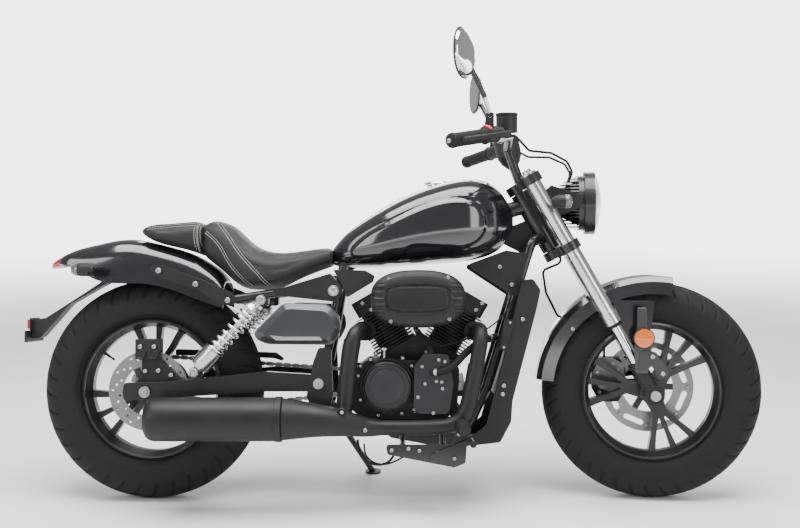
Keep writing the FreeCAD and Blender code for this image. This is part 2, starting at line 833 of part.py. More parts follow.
def cylinders():
    """The two finned barrels and heads, one solid each."""
    crank = vec(crank_x, 0, crank_z)
    units = []
    for side in both_sides:
        tilt = side * vee_half_angle
        top = fin_start + fin_count * fin_pitch
        barrel = Part.makeCylinder(barrel_radius, top - fin_start, vec(0, 0, fin_start))
        pieces = [barrel]
        for fin in range(fin_count):
            z = fin_start + fin * fin_pitch + 3
            blade = Part.makeBox(2 * fin_half, 2 * fin_half, fin_thickness, vec(-fin_half, -fin_half, z))
            corners = [edge for edge in blade.Edges if abs(edge.tangentAt(0).z) > 0.9]
            pieces.append(blade.makeFillet(16, corners))
        head = Part.makeBox(2 * head_half, 2 * head_half, head_length, vec(-head_half, -head_half, top))
        pieces.append(head.makeFillet(14, [edge for edge in head.Edges if abs(edge.tangentAt(0).z) > 0.9]))
        unit = joined(pieces)
        unit.rotate(vec(0, 0, 0), along_y, tilt)
        unit.translate(crank)
        units.append(unit)
    return Part.makeCompound(units)


def air_cleaner_oval(half_length, half_height, start, depth):
    """Oval block standing out from a Y value on the right."""
    oval = Part.Ellipse(vec(air_cleaner_x, start, air_cleaner_z), half_length, half_height)
    oval.Axis = vec(0, -1, 0)
    return Part.Face(Part.Wire(oval.toShape())).extrude(vec(0, -depth, 0))


def air_cleaner():
    """Oval air cleaner with a ribbed lid and a raised middle, and its neck between the cylinders."""
    depth = air_cleaner_outer - air_cleaner_inner
    half_length = 126
    half_height = 76
    body = air_cleaner_oval(half_length, half_height, -air_cleaner_inner, depth)
    rim = body.makeFillet(14, [edge for edge in body.Edges if abs(edge.BoundBox.YMin + air_cleaner_outer) < 1
                               and abs(edge.BoundBox.YMax + air_cleaner_outer) < 1])
    joint = air_cleaner_oval(half_length + 1, half_height + 1, -air_cleaner_outer + 42, 5)
    belt = joint.cut(air_cleaner_oval(half_length - 5, half_height - 5, -air_cleaner_outer + 42, 5))
    moat = air_cleaner_oval(88, 39, -air_cleaner_outer + 4, 6).cut(
        air_cleaner_oval(81, 32, -air_cleaner_outer + 4, 6))
    grooves = []
    for number in range(4):
        z = air_cleaner_z + (number - 1.5) * 17
        for side in both_sides:
            near = air_cleaner_x + side * 94
            far = air_cleaner_x + side * (half_length + 1)
            grooves.append(box(vec(min(near, far), -air_cleaner_outer - 1, z - 4),
                               vec(max(near, far), -air_cleaner_outer + 6, z + 4)))
    middle = throttle_centre()
    neck = rod(middle - along_y * (air_cleaner_inner + 1), middle - along_y * (throttle_half + fit), 24)
    return joined([rim.cut([belt, moat] + grooves), neck])


def throttle_centre():
    """Middle of the inlet, level with the bends of its two branches."""
    side = vee_direction(1) * (fin_start + fin_count * fin_pitch + head_length / 2)
    start = vec(crank_x, 0, crank_z) + side - vee_outward(1) * (head_half + fit + inlet_run)
    return vec(crank_x, 0, start.z)


def inlet():
    """Throttle body between the heads with a branch to each of them."""
    middle = throttle_centre()
    starts = []
    for side in both_sides:
        height = fin_start + fin_count * fin_pitch + head_length / 2
        spot = vec(crank_x, 0, crank_z) + vee_direction(side) * height
        starts.append((spot - vee_outward(side) * (head_half + fit), -vee_outward(side)))
    (rear, rear_way), (front, front_way) = starts
    branches = pipe([rear, rear + rear_way * inlet_run, front + front_way * inlet_run, front], 17, 30)
    body = rod(middle - along_y * throttle_half, middle + along_y * throttle_half, 25)
    cap = rod(middle + along_y * throttle_half, middle + along_y * (throttle_half + 14), 18)
    return joined([branches, body, cap])


# Bodywork

tank_stations = ((505, 38, 656, 704), (535, 70, 650, 738), (577, 94, 648, 773), (640, 118, 650, 815),
                 (720, 134, 656, 856), (800, 142, 662, 884), (880, 140, 668, 899), (940, 112, 682, 890),
                 (985, 70, 712, 853), (1010, 38, 748, 812))


def fuel_tank():
    """Teardrop tank with a tunnel over the backbone."""
    body = rounded_body(tank_stations, 2.7)
    half = backbone_radius + tank_wall_gap
    front, middle, back = [(spot.x, spot.z + half * 1.08) for spot in backbone_points]
    tunnel = plate([(480, 600), (480, back[1] + 2), back, middle, front, (front[0] + 30, front[1] + 8),
                    (front[0] + 30, 600)], -half, half, 2)
    return body.cut([tunnel, filler(fit)] + seat_tubes(seat_gap))


def filler(gap):
    """Filler neck in the tank's top, grown by a gap."""
    return Part.makeCylinder(30 + gap, 60, vec(800, 0, 880 - gap), along_z)


def tank_cap():
    cap = Part.makeCylinder(30, 14, vec(800, 0, 880), along_z)
    return cap.makeFillet(4, [edge for edge in cap.Edges if edge.BoundBox.ZMin > 893])


fender_stations = ((-257, 60, 654, 680), (-221, 80, 649, 697), (-151, 90, 615, 716), (-102, 94, 604, 726),
                   (-44, 96, 604, 727), (10, 97, 600, 716), (60, 97, 588, 703), (118, 97, 566, 682),
                   (160, 97, 550, 658), (190, 97, 540, 634), (206, 96, 535, 610))


def fender_body(grow):
    """Rear fender's outer form as a filled body, grown outwards by a gap."""
    rings = [arch_section(x, half + grow, low, top + grow) for x, half, low, top in fender_stations]
    return Part.makeLoft(rings, True, False)


def rear_fender():
    """One sheet over the rear tyre, open below and at its front end."""
    rings = [arch_wall(x, half, low, top, fender_wall) for x, half, low, top in fender_stations]
    return Part.makeLoft(rings, True, False)


def passenger_seat():
    pad = rounded_body(((-33, 58, 742, 757), (-20, 75, 732, 765), (20, 89, 714, 769), (87, 95, 698, 774),
                        (143, 92, 680, 779)), 3.0)
    return pad.cut(fender_body(seat_gap))


def rider_seat():
    seat = rounded_body(((147, 83, 674, 775), (165, 91, 660, 781), (200, 104, 632, 775), (232, 116, 604, 754),
                         (262, 127, 588, 724), (300, 134, 584, 700), (350, 132, 589, 688),
                         (400, 118, 612, 690), (455, 96, 635, 698), (504.6, 71, 651, 705)), 3.0)
    return seat.cut([fender_body(seat_gap)] + seat_tubes(seat_gap))


def fender_struts():
    """Side rails that carry the rear fender."""
    inner = -106 - rail_radius - fit
    strut = plate([(10, 652), (18, 626), (150, 582), (200, 546), (240, 544), (250, 560), (232, 580),
                   (150, 614), (45, 652)], inner - 6, inner, 10)
    pads = [rod(vec(x, inner - 1, z), vec(x, -97 - fit, z), 9) for x, z in ((34, 638), (136, 600))]
    return pair(joined([strut] + pads))


def tail_lamp():
    lamp = rounded_body(((-291, 22, 646, 660), (-275, 38, 648, 672), (-257, 46, 652, 680)), 3.0)
    return lamp


def signal(x, y, z, length, radius, stem_from):
    """Bullet turn signal with its stem, on the right."""
    back = x - length / 2
    body = turned_profile([(0, 0), (radius * 0.6, 3), (radius, length * 0.4), (radius, length * 0.8),
                           (radius * 0.5, length), (0, length)], vec(back, y, z), along_x, along_z)
    stem = rod(vec(x, stem_from, z), vec(x, y, z), 7)
    return joined([body, stem])


def rear_signals():
    return pair(largest(signal(-165, -150, 640, 60, 18, -84).cut(fender_body(fit))))


def plate_bracket():
    """Arm behind the fender with the number plate's carrier."""
    arm = plate([(-132, 622), (-136, 604), (-160, 592), (-240, 545), (-322, 451), (-346, 449), (-347, 501),
                 (-307, 507), (-200, 576)], -24, 24, 6)
    riser = box(vec(-158, -24, 612), vec(-134, 24, 710.5))
    carrier = box(vec(-350, -70, 440), vec(-345, 70, 472))
    tab = box(vec(-348, -36, 471), vec(-345, 36, 507))
    holes = [Part.makeCylinder(3.5, 20, vec(-355, y, 456), along_x) for y in (-55, 55)]
    return joined([arm, riser, carrier, tab]).cut(holes)


def rear_reflector():
    return box(vec(-356, -32, 477), vec(-348 - fit, 32, 503))


def side_covers():
    outer = -side_cover_inner - side_cover_thickness
    cover = plate([(298, 477), (371, 548), (498, 545), (529, 515), (536, 482), (518, 444), (336, 439),
                   (304, 452)],
                  outer, -side_cover_inner, 14)
    hollow = plate([(312, 475), (374, 538), (492, 535), (518, 510), (524, 482), (510, 454), (336, 449)],
                   outer + 4, -side_cover_inner, 10)
    peg = rod(vec(503, outer + 3, 475), vec(503, -104, 475), 7).cut(seat_tubes(fit))
    return pair(joined([cover.cut(hollow), largest(peg)]))


def neck_covers():
    inner = -down_tube_side - down_tube_radius - fit
    cover = plate([(877, 655), (986, 695), (1048, 686), (1018, 562)], inner - 6, inner, 8)
    return pair(cover)


def radiator_plane(z):
    """X of the radiator's rear face at a height, just ahead of the down tubes."""
    return 935 + (z - 320) * (1062 - 935) / (728 - 320) + down_tube_radius + 6


def radiator():
    """Radiator core between its end tanks."""
    low = 300
    high = 585
    core = plate([(radiator_plane(low), low), (radiator_plane(high), high), (radiator_plane(high) + 30, high),
                  (radiator_plane(low) + 30, low)], -94, 94, 3)
    lugs = [rod(vec(radiator_plane(560) - 18, side * down_tube_side, 560),
                vec(radiator_plane(560) + 10, side * down_tube_side, 560), 7) for side in both_sides]
    tubes = [down_tube(side, fit) for side in both_sides]
    return joined([core] + [lug.cut(tubes) for lug in lugs])


def radiator_shroud():
    """Side panels of the radiator with the chin scoop below."""
    panel = plate([(1028, 612), (1058, 616), (1078, 584), (1066, 530), (1000, 283), (996, 226), (966, 170),
                   (880, 160), (880, 178), (930, 215), (948, 282)], -112, -94 - fit, 12)
    chin = plate([(996, 226), (966, 170), (880, 160), (880, 166), (962, 177), (988, 226), (988, 250),
                  (996, 250)],
                 -100, 100, 2)
    return joined([panel, mirrored(panel), chin])


# Exhaust

def exhaust_pipes():
    """Both headers and the collector that feeds the muffler."""
    ports = []
    for side in both_sides:
        middle = fin_start + fin_count * fin_pitch + head_length / 2
        spot = vec(crank_x, 0, crank_z) + vee_direction(side) * middle
        ports.append(spot + vee_outward(side) * 25 - along_y * (head_half + fit))
    front = pipe([ports[1], ports[1] - along_y * 74, vec(912, header_side, 430), vec(892, header_side, 300),
                  vec(868, header_side, 216), vec(620, header_side - 8, 216)], header_radius, 32)
    rear = pipe([ports[0], ports[0] - along_y * 74, vec(564, header_side, 430), vec(548, header_side, 330),
                 vec(545, header_side - 8, 240)], header_radius, 26)
    start = vec(630, header_side - 8, 216)
    end = vec(muffler_front + fit, muffler_side, muffler_z)
    collector = taper(start, end, 24, 50)
    trimmed = box(vec(muffler_front + fit, -300, 150), vec(700, 0, 300))
    return joined([front, rear, collector.common(trimmed)])


def muffler():
    """Silencer can with its rolled ends and outlet."""
    length = muffler_front - muffler_rear
    radius = muffler_radius
    return turned_profile([(0, 20), (22, 20), (22, 0), (30, 0), (34, 14), (radius - 4, 24), (radius, 40),
                           (radius, length - 30), (50, length), (0, length)],
                          vec(muffler_rear, muffler_side, muffler_z), along_x, along_z)


# Feet

def footpegs():
    """Bolted plates low on both sides that carry the footpegs."""
    base = plate([(655, 172), (660, 146), (838, 112), (868, 124), (876, 236), (846, 240), (836, 172)],
                 -173, -165, 8)
    peg = rod(vec(858, -172, 226), vec(858, -290, 226), 15)
    stays = [rod(vec(x, -cradle_side, z), vec(x, -166, z), 8) for x, z in ((700, 168), (810, 156))]
    risers = [rod(vec(x, -cradle_side, z), vec(x, -cradle_side, cradle_z - 4), 8)
              for x, z in ((700, 168), (810, 156))]
    one = joined([base, peg] + stays + risers)
    return pair(one.cut(cradle_space()))


def cradle_space():
    return rod(vec(560, -cradle_side, cradle_z), vec(880, -cradle_side, cradle_z), down_tube_radius + fit)


def foot_levers():
    """Brake pedal on the right and shift lever on the left."""
    arm = plate([(770, 128), (776, 148), (880, 190), (892, 180), (800, 130)], -182, -173 - fit, 5)
    pad = rod(vec(884, -176, 182), vec(884, -238, 182), 9)
    return pair(joined([arm, pad]))


def rear_caliper():
    """Caliper over the disc's top with its bracket on the axle."""
    low = rear_disc_side - 26
    body = box(vec(-32, low, rear_axle.z + 88), vec(34, rear_disc_side + 20, rear_axle.z + 142))
    slot = disc_room(rear_axle, rear_disc_radius, rear_disc_side)
    face = -arm_inner + fit
    bracket = plate([(-16, rear_axle.z - 18), (-16, rear_axle.z + 100), (20, rear_axle.z + 100),
                     (100, rear_axle.z + 20), (96, rear_axle.z - 10), (20, rear_axle.z - 18)],
                    face, face + 5, 8)
    hole = rod(rear_axle - along_y * 120, rear_axle - along_y * 60, 13 + fit)
    return joined([body, bracket]).cut([slot, hole])


# Steering

def leg(low, high, radius, side):
    y = side * leg_spacing / 2
    return rod(fork_point(low, 0, y), fork_point(high, 0, y), radius)


def both_legs(low, high, radius):
    return [leg(low, high, radius, side) for side in both_sides]


def triple_clamps():
    """Lower and upper fork clamps on the steering stem, with the handlebar risers."""
    pieces = []
    for centre in (lower_clamp_at, upper_clamp_at):
        low = centre - clamp_thickness / 2
        high = centre + clamp_thickness / 2
        pieces.append(steered_box(low, high, -fork_offset + 4, 16, leg_spacing / 2))
        pieces.append(rod(head_centre(low), head_centre(high), head_radius + 3))
        pieces += both_legs(low, high, fork_tube_radius + 8)
    stem = rod(head_centre(lower_clamp_at), head_centre(upper_clamp_at), stem_radius)
    risers = []
    for side in both_sides:
        foot = fork_point(upper_clamp_at, -fork_offset + 14, side * riser_side)
        risers.append(rod(foot, bar_points(side)[0] + along_y * side * riser_side, 13))
    clamps = joined(pieces + [stem] + risers)
    bores = both_legs(lower_clamp_at - 40, upper_clamp_at + 40, fork_tube_radius)
    return clamps.cut(bores + [handlebar_solid(0)])


def fork_tubes():
    """Bright outer tubes of the fork, each with a collar at its lower end."""
    tubes = []
    for side in both_sides:
        outer = leg(tube_bottom, upper_clamp_at + 18, fork_tube_radius, side)
        collar = leg(tube_bottom, tube_bottom + 36, fork_tube_radius + 2, side)
        bore = leg(tube_bottom - 1, tube_bottom + 200, stanchion_radius, side)
        tubes.append(joined([outer, collar]).cut(bore))
    return Part.makeCompound(tubes)


def stanchions():
    return Part.makeCompound(both_legs(lower_top - 80, tube_bottom + 200, stanchion_radius))


def lower_body(side, grow=0.0):
    """Tapered lower leg of one side."""
    y = side * leg_spacing / 2
    return taper(fork_point(-10, 0, y), fork_point(lower_top, 0, y), 20 + grow, lower_radius + grow)


def fork_lowers():
    """Black lower legs with the axle clamps."""
    legs = []
    for side in both_sides:
        y = side * leg_spacing / 2
        middle = front_axle + along_y * y
        clamp = rod(middle - along_y * axle_clamp_half, middle + along_y * axle_clamp_half, 25)
        body = lower_body(side)
        bore = rod(front_axle - along_y * 150, front_axle + along_y * 150, front_axle_radius)
        socket = leg(lower_top - 80, lower_top + 1, stanchion_radius, side)
        legs.append(joined([clamp, body]).cut([socket, bore]))
    return Part.makeCompound(legs)


def front_axle_set():
    """Front axle with spacers and end nut."""
    reach = leg_spacing / 2 + axle_clamp_half + 6
    axle = rod(front_axle - along_y * reach, front_axle + along_y * reach, front_axle_radius)
    inner = leg_spacing / 2 - axle_clamp_half
    right = rod(front_axle - along_y * (inner - fit), front_axle - along_y * 61, 13)
    left = rod(front_axle + along_y * (front_disc_side + disc_thickness / 2 + 1),
               front_axle + along_y * (inner - fit), 13)
    seat = leg_spacing / 2 + axle_clamp_half + fit
    nuts = [Part.makeCylinder(14, 8, front_axle + along_y * (side * seat), along_y * side)
            for side in both_sides]
    return joined([axle, right, left] + nuts)


def bar_points(side):
    """Bends of one half of the handlebar, from the middle out to the grip's end."""
    route = ((-400, 0, 680.5), (-400, 80, 680.5), (-396, 165, 700), (-433, 275, 699.5),
             (-534, bar_half_width, 674.5))
    return [front_axle + vec(x, side * y, z) for x, y, z in route]


def handlebar_solid(grow):
    return joined([pipe(bar_points(side), bar_radius + grow, 45) for side in both_sides])


def handlebar():
    return handlebar_solid(0)


def grip_line(side):
    outer = bar_points(side)[4]
    inner = outer + (bar_points(side)[3] - outer).normalize() * grip_length
    return outer, inner


def grips():
    """Rubber grips with their bar ends."""
    pieces = []
    for side in both_sides:
        outer, inner = grip_line(side)
        line = (outer - inner).normalize()
        grip = rod(inner, outer, grip_radius).cut(rod(inner - line, outer + line, bar_radius))
        end = rod(outer, outer + line * 8, grip_radius - 2)
        pieces.append(joined([grip, end]))
    return Part.makeCompound(pieces)


def switch_housing(side, grow=0.0):
    """Round switch housing next to a grip."""
    outer, inner = grip_line(side)
    line = (outer - inner).normalize()
    start = inner - line * fit
    return rod(start, start - line * switch_length, switch_radius + grow)


def grip_ahead(side):
    """Level direction square to a grip, pointing ahead."""
    outer, inner = grip_line(side)
    return ((outer - inner).cross(along_z) * side).normalize()


def hand_controls():
    """Switch housings, lever perches, levers and the brake reservoir."""
    units = []
    for side in both_sides:
        outer, inner = grip_line(side)
        line = (outer - inner).normalize()
        perch_start = inner - line * (switch_length + fit)
        base = perch_start - line * (perch_length / 2)
        perch = rod(perch_start, perch_start - line * perch_length, switch_radius - 4)
        ahead = grip_ahead(side)
        arm = base + ahead * 48
        lever = pipe([base, arm, arm + line * 70, arm + line * 172 - ahead * 8], 6, 18)
        pieces = [switch_housing(side), perch, lever]
        if side < 0:
            seat_point = base + vec(21, 40, 8)
            pieces.append(rod(base, seat_point, 8))
            pieces.append(Part.makeCylinder(reservoir_radius, reservoir_height, seat_point - along_z * 2,
                                            along_z))
        unit = joined(pieces)
        units.append(unit.cut(pipe(bar_points(side), bar_radius, 45)))
    return Part.makeCompound(units)


mirror_half_width = 76.0
mirror_half_height = 61.0
mirror_depth = 24.0
mirror_toe = 13.5


def mirror_place(side):
    """Where a mirror's middle sits, turned in towards the rider."""
    turned = FreeCAD.Rotation(along_z, side * mirror_toe)
    return FreeCAD.Placement(front_axle + vec(-508, side * 380, 892.5), turned)


def mirror_ring(depth, share):
    """Outline of the mirror at a depth behind its glass."""
    half = mirror_half_height * share
    return rounded_ring(depth, mirror_half_width * share, -half, half, 2.2)


def mirrors():
    """Domed mirror shells on their stems."""
    units = []
    for side in both_sides:
        outer, inner = grip_line(side)
        line = (outer - inner).normalize()
        foot = inner - line * (16 + fit) + along_z * 17
        rings = [mirror_ring(mirror_depth * deep, share)
                 for deep, share in ((0, 1.0), (0.25, 0.97), (0.55, 0.84), (0.85, 0.56), (1.0, 0.22))]
        place = mirror_place(side)
        shell = Part.makeLoft(rings, True, False)
        shell.Placement = place
        grip_point = place.multVec(vec(mirror_depth * 0.4, -side * mirror_half_width * 0.45, -30))
        stem = pipe([foot, foot + vec(2, 0, 34), foot + vec(-12, side * 30, 80), grip_point], 6, 24)
        boot = rod(foot, foot + vec(1.6, 0, 28), 11)
        units.append(joined([shell, stem, boot]).cut(switch_housing(side, fit)))
    return Part.makeCompound(units)


def mirror_glass():
    """Thin oval mirrors just behind the shells' open faces."""
    pieces = []
    for side in both_sides:
        glass = Part.Face(mirror_ring(-2 - fit, 0.95)).extrude(vec(2, 0, 0))
        glass.Placement = mirror_place(side)
        pieces.append(glass)
    return Part.makeCompound(pieces)


def lamp_fin_slots():
    """Level slots round the outside of the lamp bowl, which leave the cooling fins."""
    slots = []
    for number in range(-8, 9):
        low = headlamp_spot.z + number * lamp_fin_pitch - lamp_fin_slot / 2
        slots.append(box(vec(headlamp_spot.x - 110, -100, low),
                         vec(headlamp_spot.x - 36, 100, low + lamp_fin_slot)))
    core = turned_profile([(0, -110), (20, -110), (44 - lamp_fin_depth / 2, -90), (78 - lamp_fin_depth, -36),
                           (78 - lamp_fin_depth, -20), (0, -20)], headlamp_spot, along_x, along_z)
    return [slot.cut(core) for slot in slots]


def headlamp_shell():
    """Finned lamp bowl with its rim and the ears on the fork."""
    rim = headlamp_radius
    bowl = turned_profile([(0, -96), (30, -96), (52, -88), (70, -60), (78, -36), (78, -22), (rim, -20), (rim, 8),
                           (rim - 5, 8), (rim - 5, -6), (0, -6)], headlamp_spot, along_x, along_z)
    bowl = bowl.cut(lamp_fin_slots())
    ears = []
    for side in both_sides:
        low = min(side * 72, side * 84)
        lamp_end = headlamp_spot - along_x * 28
        ears.append(plate(beside(front_axle, [(-300, 557.5), (-280, 575.5)])
                          + [(lamp_end.x, lamp_end.z + 20), (lamp_end.x, lamp_end.z - 12)]
                          + beside(front_axle, [(-270, 485.5), (-288, 495.5)]), low, low + 12, 6))
    room = both_legs(400, 700, fork_tube_radius + fit)
    return joined([bowl] + [largest(ear.cut(room)) for ear in ears])


def headlamp_lens():
    rim = headlamp_radius - 5 - fit
    return turned_profile([(0, -6 + fit), (rim, -6 + fit), (rim, 6), (70, 16), (40, 25), (0, 28)],
                          headlamp_spot, along_x, along_z)


def instrument():
    """Round speedometer over the upper clamp, with its cup."""
    base = front_axle + vec(-386, 0, 626.5)
    axis = vec(-sin(dial_tilt), 0, cos(dial_tilt))
    across = vec(cos(dial_tilt), 0, sin(dial_tilt))
    cup = turned_profile([(0, 0), (12, 0), (26, 16), (34, 34), (36, 52), (36, 84), (32, 86), (0, 86)], base,
                         axis, across)
    return cup.cut(handlebar_solid(fit))


def front_fender():
    """Fender over the front tyre with side skirts and stays."""
    inner = front_tyre_radius + front_fender_gap
    half = front_fender_half
    section = [(inner - 46, -half), (inner - 14, -half), (inner - 2, -half + 14), (inner, -half + 34),
               (inner, half - 34), (inner - 2, half - 14), (inner - 14, half), (inner - 46, half),
               (inner - 46, half + fender_wall), (inner - 12, half + fender_wall), (inner + 2, half - 12),
               (inner + fender_wall + 1, half - 34), (inner + fender_wall + 1, -half + 34),
               (inner + 2, -half + 12), (inner - 12, -half - fender_wall), (inner - 46, -half - fender_wall)]
    band = turned_profile(section, front_axle, along_y, along_x, -94)
    band.rotate(front_axle, along_y, -80)
    top = front_tyre_radius - 48.5
    skirt = plate(beside(front_axle, [(-110, top), (-100, 175.5), (-68, 135.5), (-54, 57.5), (-16, 57.5),
                                      (-20, 145.5), (-4, 185.5), (2, top)]), -half - fender_wall, -half, 8)
    boss = rod(front_axle + vec(-36, -half, 69.5), front_axle + vec(-36, -leg_spacing / 2, 69.5), 8)
    boss = boss.cut(lower_body(-1, fit))
    stay = joined([skirt, largest(boss)])
    return joined([band, stay, mirrored(stay)])


def front_caliper():
    """Caliper behind the left fork leg."""
    low = front_disc_side - 20
    outline = [(-160, -4.5), (-160, 51.5), (-138, 83.5), (-80, 83.5), (-64, 51.5), (-64, -4.5), (-84, -42.5),
               (-138, -42.5)]
    body = plate(beside(front_axle, outline), low, front_disc_side + 30, 10)
    slot = disc_room(front_axle, front_disc_radius, front_disc_side)
    lug = rod(front_axle + vec(-100, 84, 25.5), front_axle + vec(-28, 92, 37.5), 9)
    return largest(joined([body.cut(slot), lug]).cut(lower_body(1, fit)))


def front_signals():
    one = signal(headlamp_spot.x - 89, -165, headlamp_spot.z, 56, 18, -84 - fit)
    return pair(one)


def fork_reflectors():
    """Round side reflectors on strips by the fork."""
    y = -(leg_spacing / 2 + lower_radius)
    outline_points = [(-54, 61.5), (-58, 127.5), (-50, 195.5), (-28, 195.5), (-14, 125.5), (-20, 61.5)]
    strip = plate(beside(front_axle, outline_points), y - 4, y - fit, 6)
    lens = rod(front_axle + vec(-32, y - 4, 157.5), front_axle + vec(-32, y - 11, 157.5), 27)
    return pair(joined([strip, lens]))


def control_cables():
    """Throttle and clutch cables, and the front brake hose."""
    cables = []
    for side in both_sides:
        outer, inner = grip_line(side)
        line = (outer - inner).normalize()
        below = (grip_ahead(side) - along_z).normalize() * (bar_radius + 4.5)
        reach = switch_length + perch_length + 2 * fit
        start = inner - line * (reach + below.dot(line)) + below
        route = [(-340, 118, 668), (-280, 84, 664), (-236, 60, 642), (-220, 50, 612), (-232, 44, 583.5)]
        route = [front_axle + vec(x, side * y, z) for x, y, z in route]
        cables.append(pipe([start, start - line * 40] + route, hose_radius, 20))
    return Part.makeCompound(cables + [brake_hose()])


def brake_hose():
    """Hose from under the lower clamp, round behind the fender to the caliper's top."""
    start = fork_point(lower_clamp_at - clamp_thickness / 2 - fit, -fork_offset + 12, 26)
    route = [(-300, 34, 335.5), (-290, 48, 270.5), (-258, 86, 205.5), (-200, 88, 140.5), (-122, 70, 120.5),
             (-122, 70, 83.5 + fit)]
    route = [front_axle + vec(*spot) for spot in route]
    return pipe([start, start - steer_up * 20] + route, hose_radius, 16)


# Settling on the ground

def steered(shape):
    """Turns a piece of the steering to where it rests."""
    turned = shape.copy()
    turned.rotate(steer_base, steer_up, rest_steer)
    return turned


def lowest_of_tyre(axle, axis, radius, crown):
    """Height of a leaned tyre's lowest point: a ring's lowest point less the crown."""
    return axle.z - (radius - crown) * math.sqrt(1 - axis.z ** 2) - crown


leaning = FreeCAD.Rotation(along_x, -lean)
front_turn = FreeCAD.Placement(vec(0, 0, 0), FreeCAD.Rotation(steer_up, rest_steer), steer_base)
front_centre = leaning.multVec(front_turn.multVec(front_axle))
front_spin = leaning.multVec(FreeCAD.Rotation(steer_up, rest_steer).multVec(along_y))
rear_centre = leaning.multVec(rear_axle)
rear_spin = leaning.multVec(along_y)
front_low = lowest_of_tyre(front_centre, front_spin, front_tyre_radius, front_crown)
rear_low = lowest_of_tyre(rear_centre, rear_spin, rear_tyre_radius, rear_crown)
pitch = math.degrees(math.atan((front_low - rear_low) / wheelbase))
settling = FreeCAD.Rotation(along_y, pitch).multiply(leaning)
drop = -lowest_of_tyre(FreeCAD.Rotation(along_y, pitch).multVec(rear_centre),
                       FreeCAD.Rotation(along_y, pitch).multVec(rear_spin), rear_tyre_radius, rear_crown)
settled = FreeCAD.Placement(vec(0, 0, drop), settling)

stand_pivot = settled.multVec(vec(stand_pivot_x, stand_pivot_y, stand_pivot_z))
stand_foot = settled.multVec(vec(stand_foot_x, stand_foot_y, 0))
stand_foot.z = stand_foot_thickness / 2
stand_down = (stand_foot - stand_pivot).normalize()
stand_folded = settling.multVec(vec(-cos(6), sin(3), sin(6))).normalize()
stand_axis = stand_down.cross(stand_folded).normalize()


def side_stand():
    """Stand leg with its foot flat on the ground and its pivot eye."""
    leg_rod = pipe([stand_pivot, stand_foot], stand_rod_radius, 10)
    foot = Part.makeCylinder(stand_foot_radius, stand_foot_thickness, vec(stand_foot.x, stand_foot.y, 0))
    eye = rod(stand_pivot - stand_axis * stand_eye_half, stand_pivot + stand_axis * stand_eye_half, 17)
    leg_rod = leg_rod.common(box(vec(0, -500, 0), vec(1400, 900, 800)))
    reach = stand_axis * 30
    pin_hole = rod(stand_pivot - reach, stand_pivot + reach, stand_pin_radius + bearing_gap)
    return joined([leg_rod, foot, eye]).cut(pin_hole)


def stand_mount():
    """Bracket and pin on the frame that the side stand turns on."""
    reach = stand_eye_half + 8
    pin = rod(stand_pivot - stand_axis * reach, stand_pivot + stand_axis * reach, stand_pin_radius)
    cheeks = []
    for side in both_sides:
        start = stand_pivot + stand_axis * (side * (stand_eye_half + fit))
        cheeks.append(rod(start, start + stand_axis * (side * 7), 17))
    target = settled.multVec(vec(stand_pivot_x + 30, cradle_side + 4, cradle_z))
    cheek = min(cheeks, key=lambda piece: (piece.CenterOfMass - target).Length)
    eye_space = rod(stand_pivot - stand_axis * (stand_eye_half + fit),
                    stand_pivot + stand_axis * (stand_eye_half + fit), 30)
    arm = rod(cheek.CenterOfMass, target, 9).cut(eye_space)
    return cheeks + [pin, arm]


frame_nodes = {
    "main_frame": main_frame,
    "swingarm": swingarm,
    "rear_axle": rear_axle_set,
    "pivot_bolt": pivot_bolt,
    "shock_bodies": shock_bodies,
    "shock_springs": shock_springs,
    "engine_cases": engine_cases,
    "engine_side_covers": engine_side_covers,
    "cylinders": cylinders,
    "air_cleaner": air_cleaner,
    "inlet": inlet,
    "fuel_tank": fuel_tank,
    "tank_cap": tank_cap,
    "rider_seat": rider_seat,
    "passenger_seat": passenger_seat,
    "rear_fender": rear_fender,
    "fender_struts": fender_struts,
    "tail_lamp": tail_lamp,
    "rear_signals": rear_signals,
    "plate_bracket": plate_bracket,
    "rear_reflector": rear_reflector,
    "side_covers": side_covers,
    "neck_covers": neck_covers,
    "radiator": radiator,
    "radiator_shroud": radiator_shroud,
    "exhaust_pipes": exhaust_pipes,
    "muffler": muffler,
    "footpegs": footpegs,
    "foot_levers": foot_levers,
    "rear_caliper": rear_caliper,
    "chain": chain,
    "chain_guard": chain_guard,
}

rear_wheel_nodes = {
    "rear_tyre": rear_tyre,
    "rear_wheel_casting": rear_wheel,
    "rear_disc": rear_disc,
    "rear_sprocket": rear_sprocket,
}

steering_nodes = {
    "triple_clamps": triple_clamps,
    "fork_tubes": fork_tubes,
    "stanchions": stanchions,
    "fork_lowers": fork_lowers,
    "front_axle": front_axle_set,
    "handlebar": handlebar,
    "grips": grips,
    "hand_controls": hand_controls,
    "mirrors": mirrors,
    "mirror_glass": mirror_glass,
    "headlamp_shell": headlamp_shell,
    "headlamp_lens": headlamp_lens,
    "instrument": instrument,
    "front_fender": front_fender,
    "front_caliper": front_caliper,
    "front_signals": front_signals,
    "fork_reflectors": fork_reflectors,
    "control_cables": control_cables,
}

front_wheel_nodes = {
    "front_tyre": front_tyre,
    "front_wheel_casting": front_wheel,
    "front_disc": front_disc,
}


def placed(shape):
    """Moves a piece from the upright frame to where the machine stands."""
    moved = shape.copy()
    moved.Placement = settled.multiply(moved.Placement)
    return moved


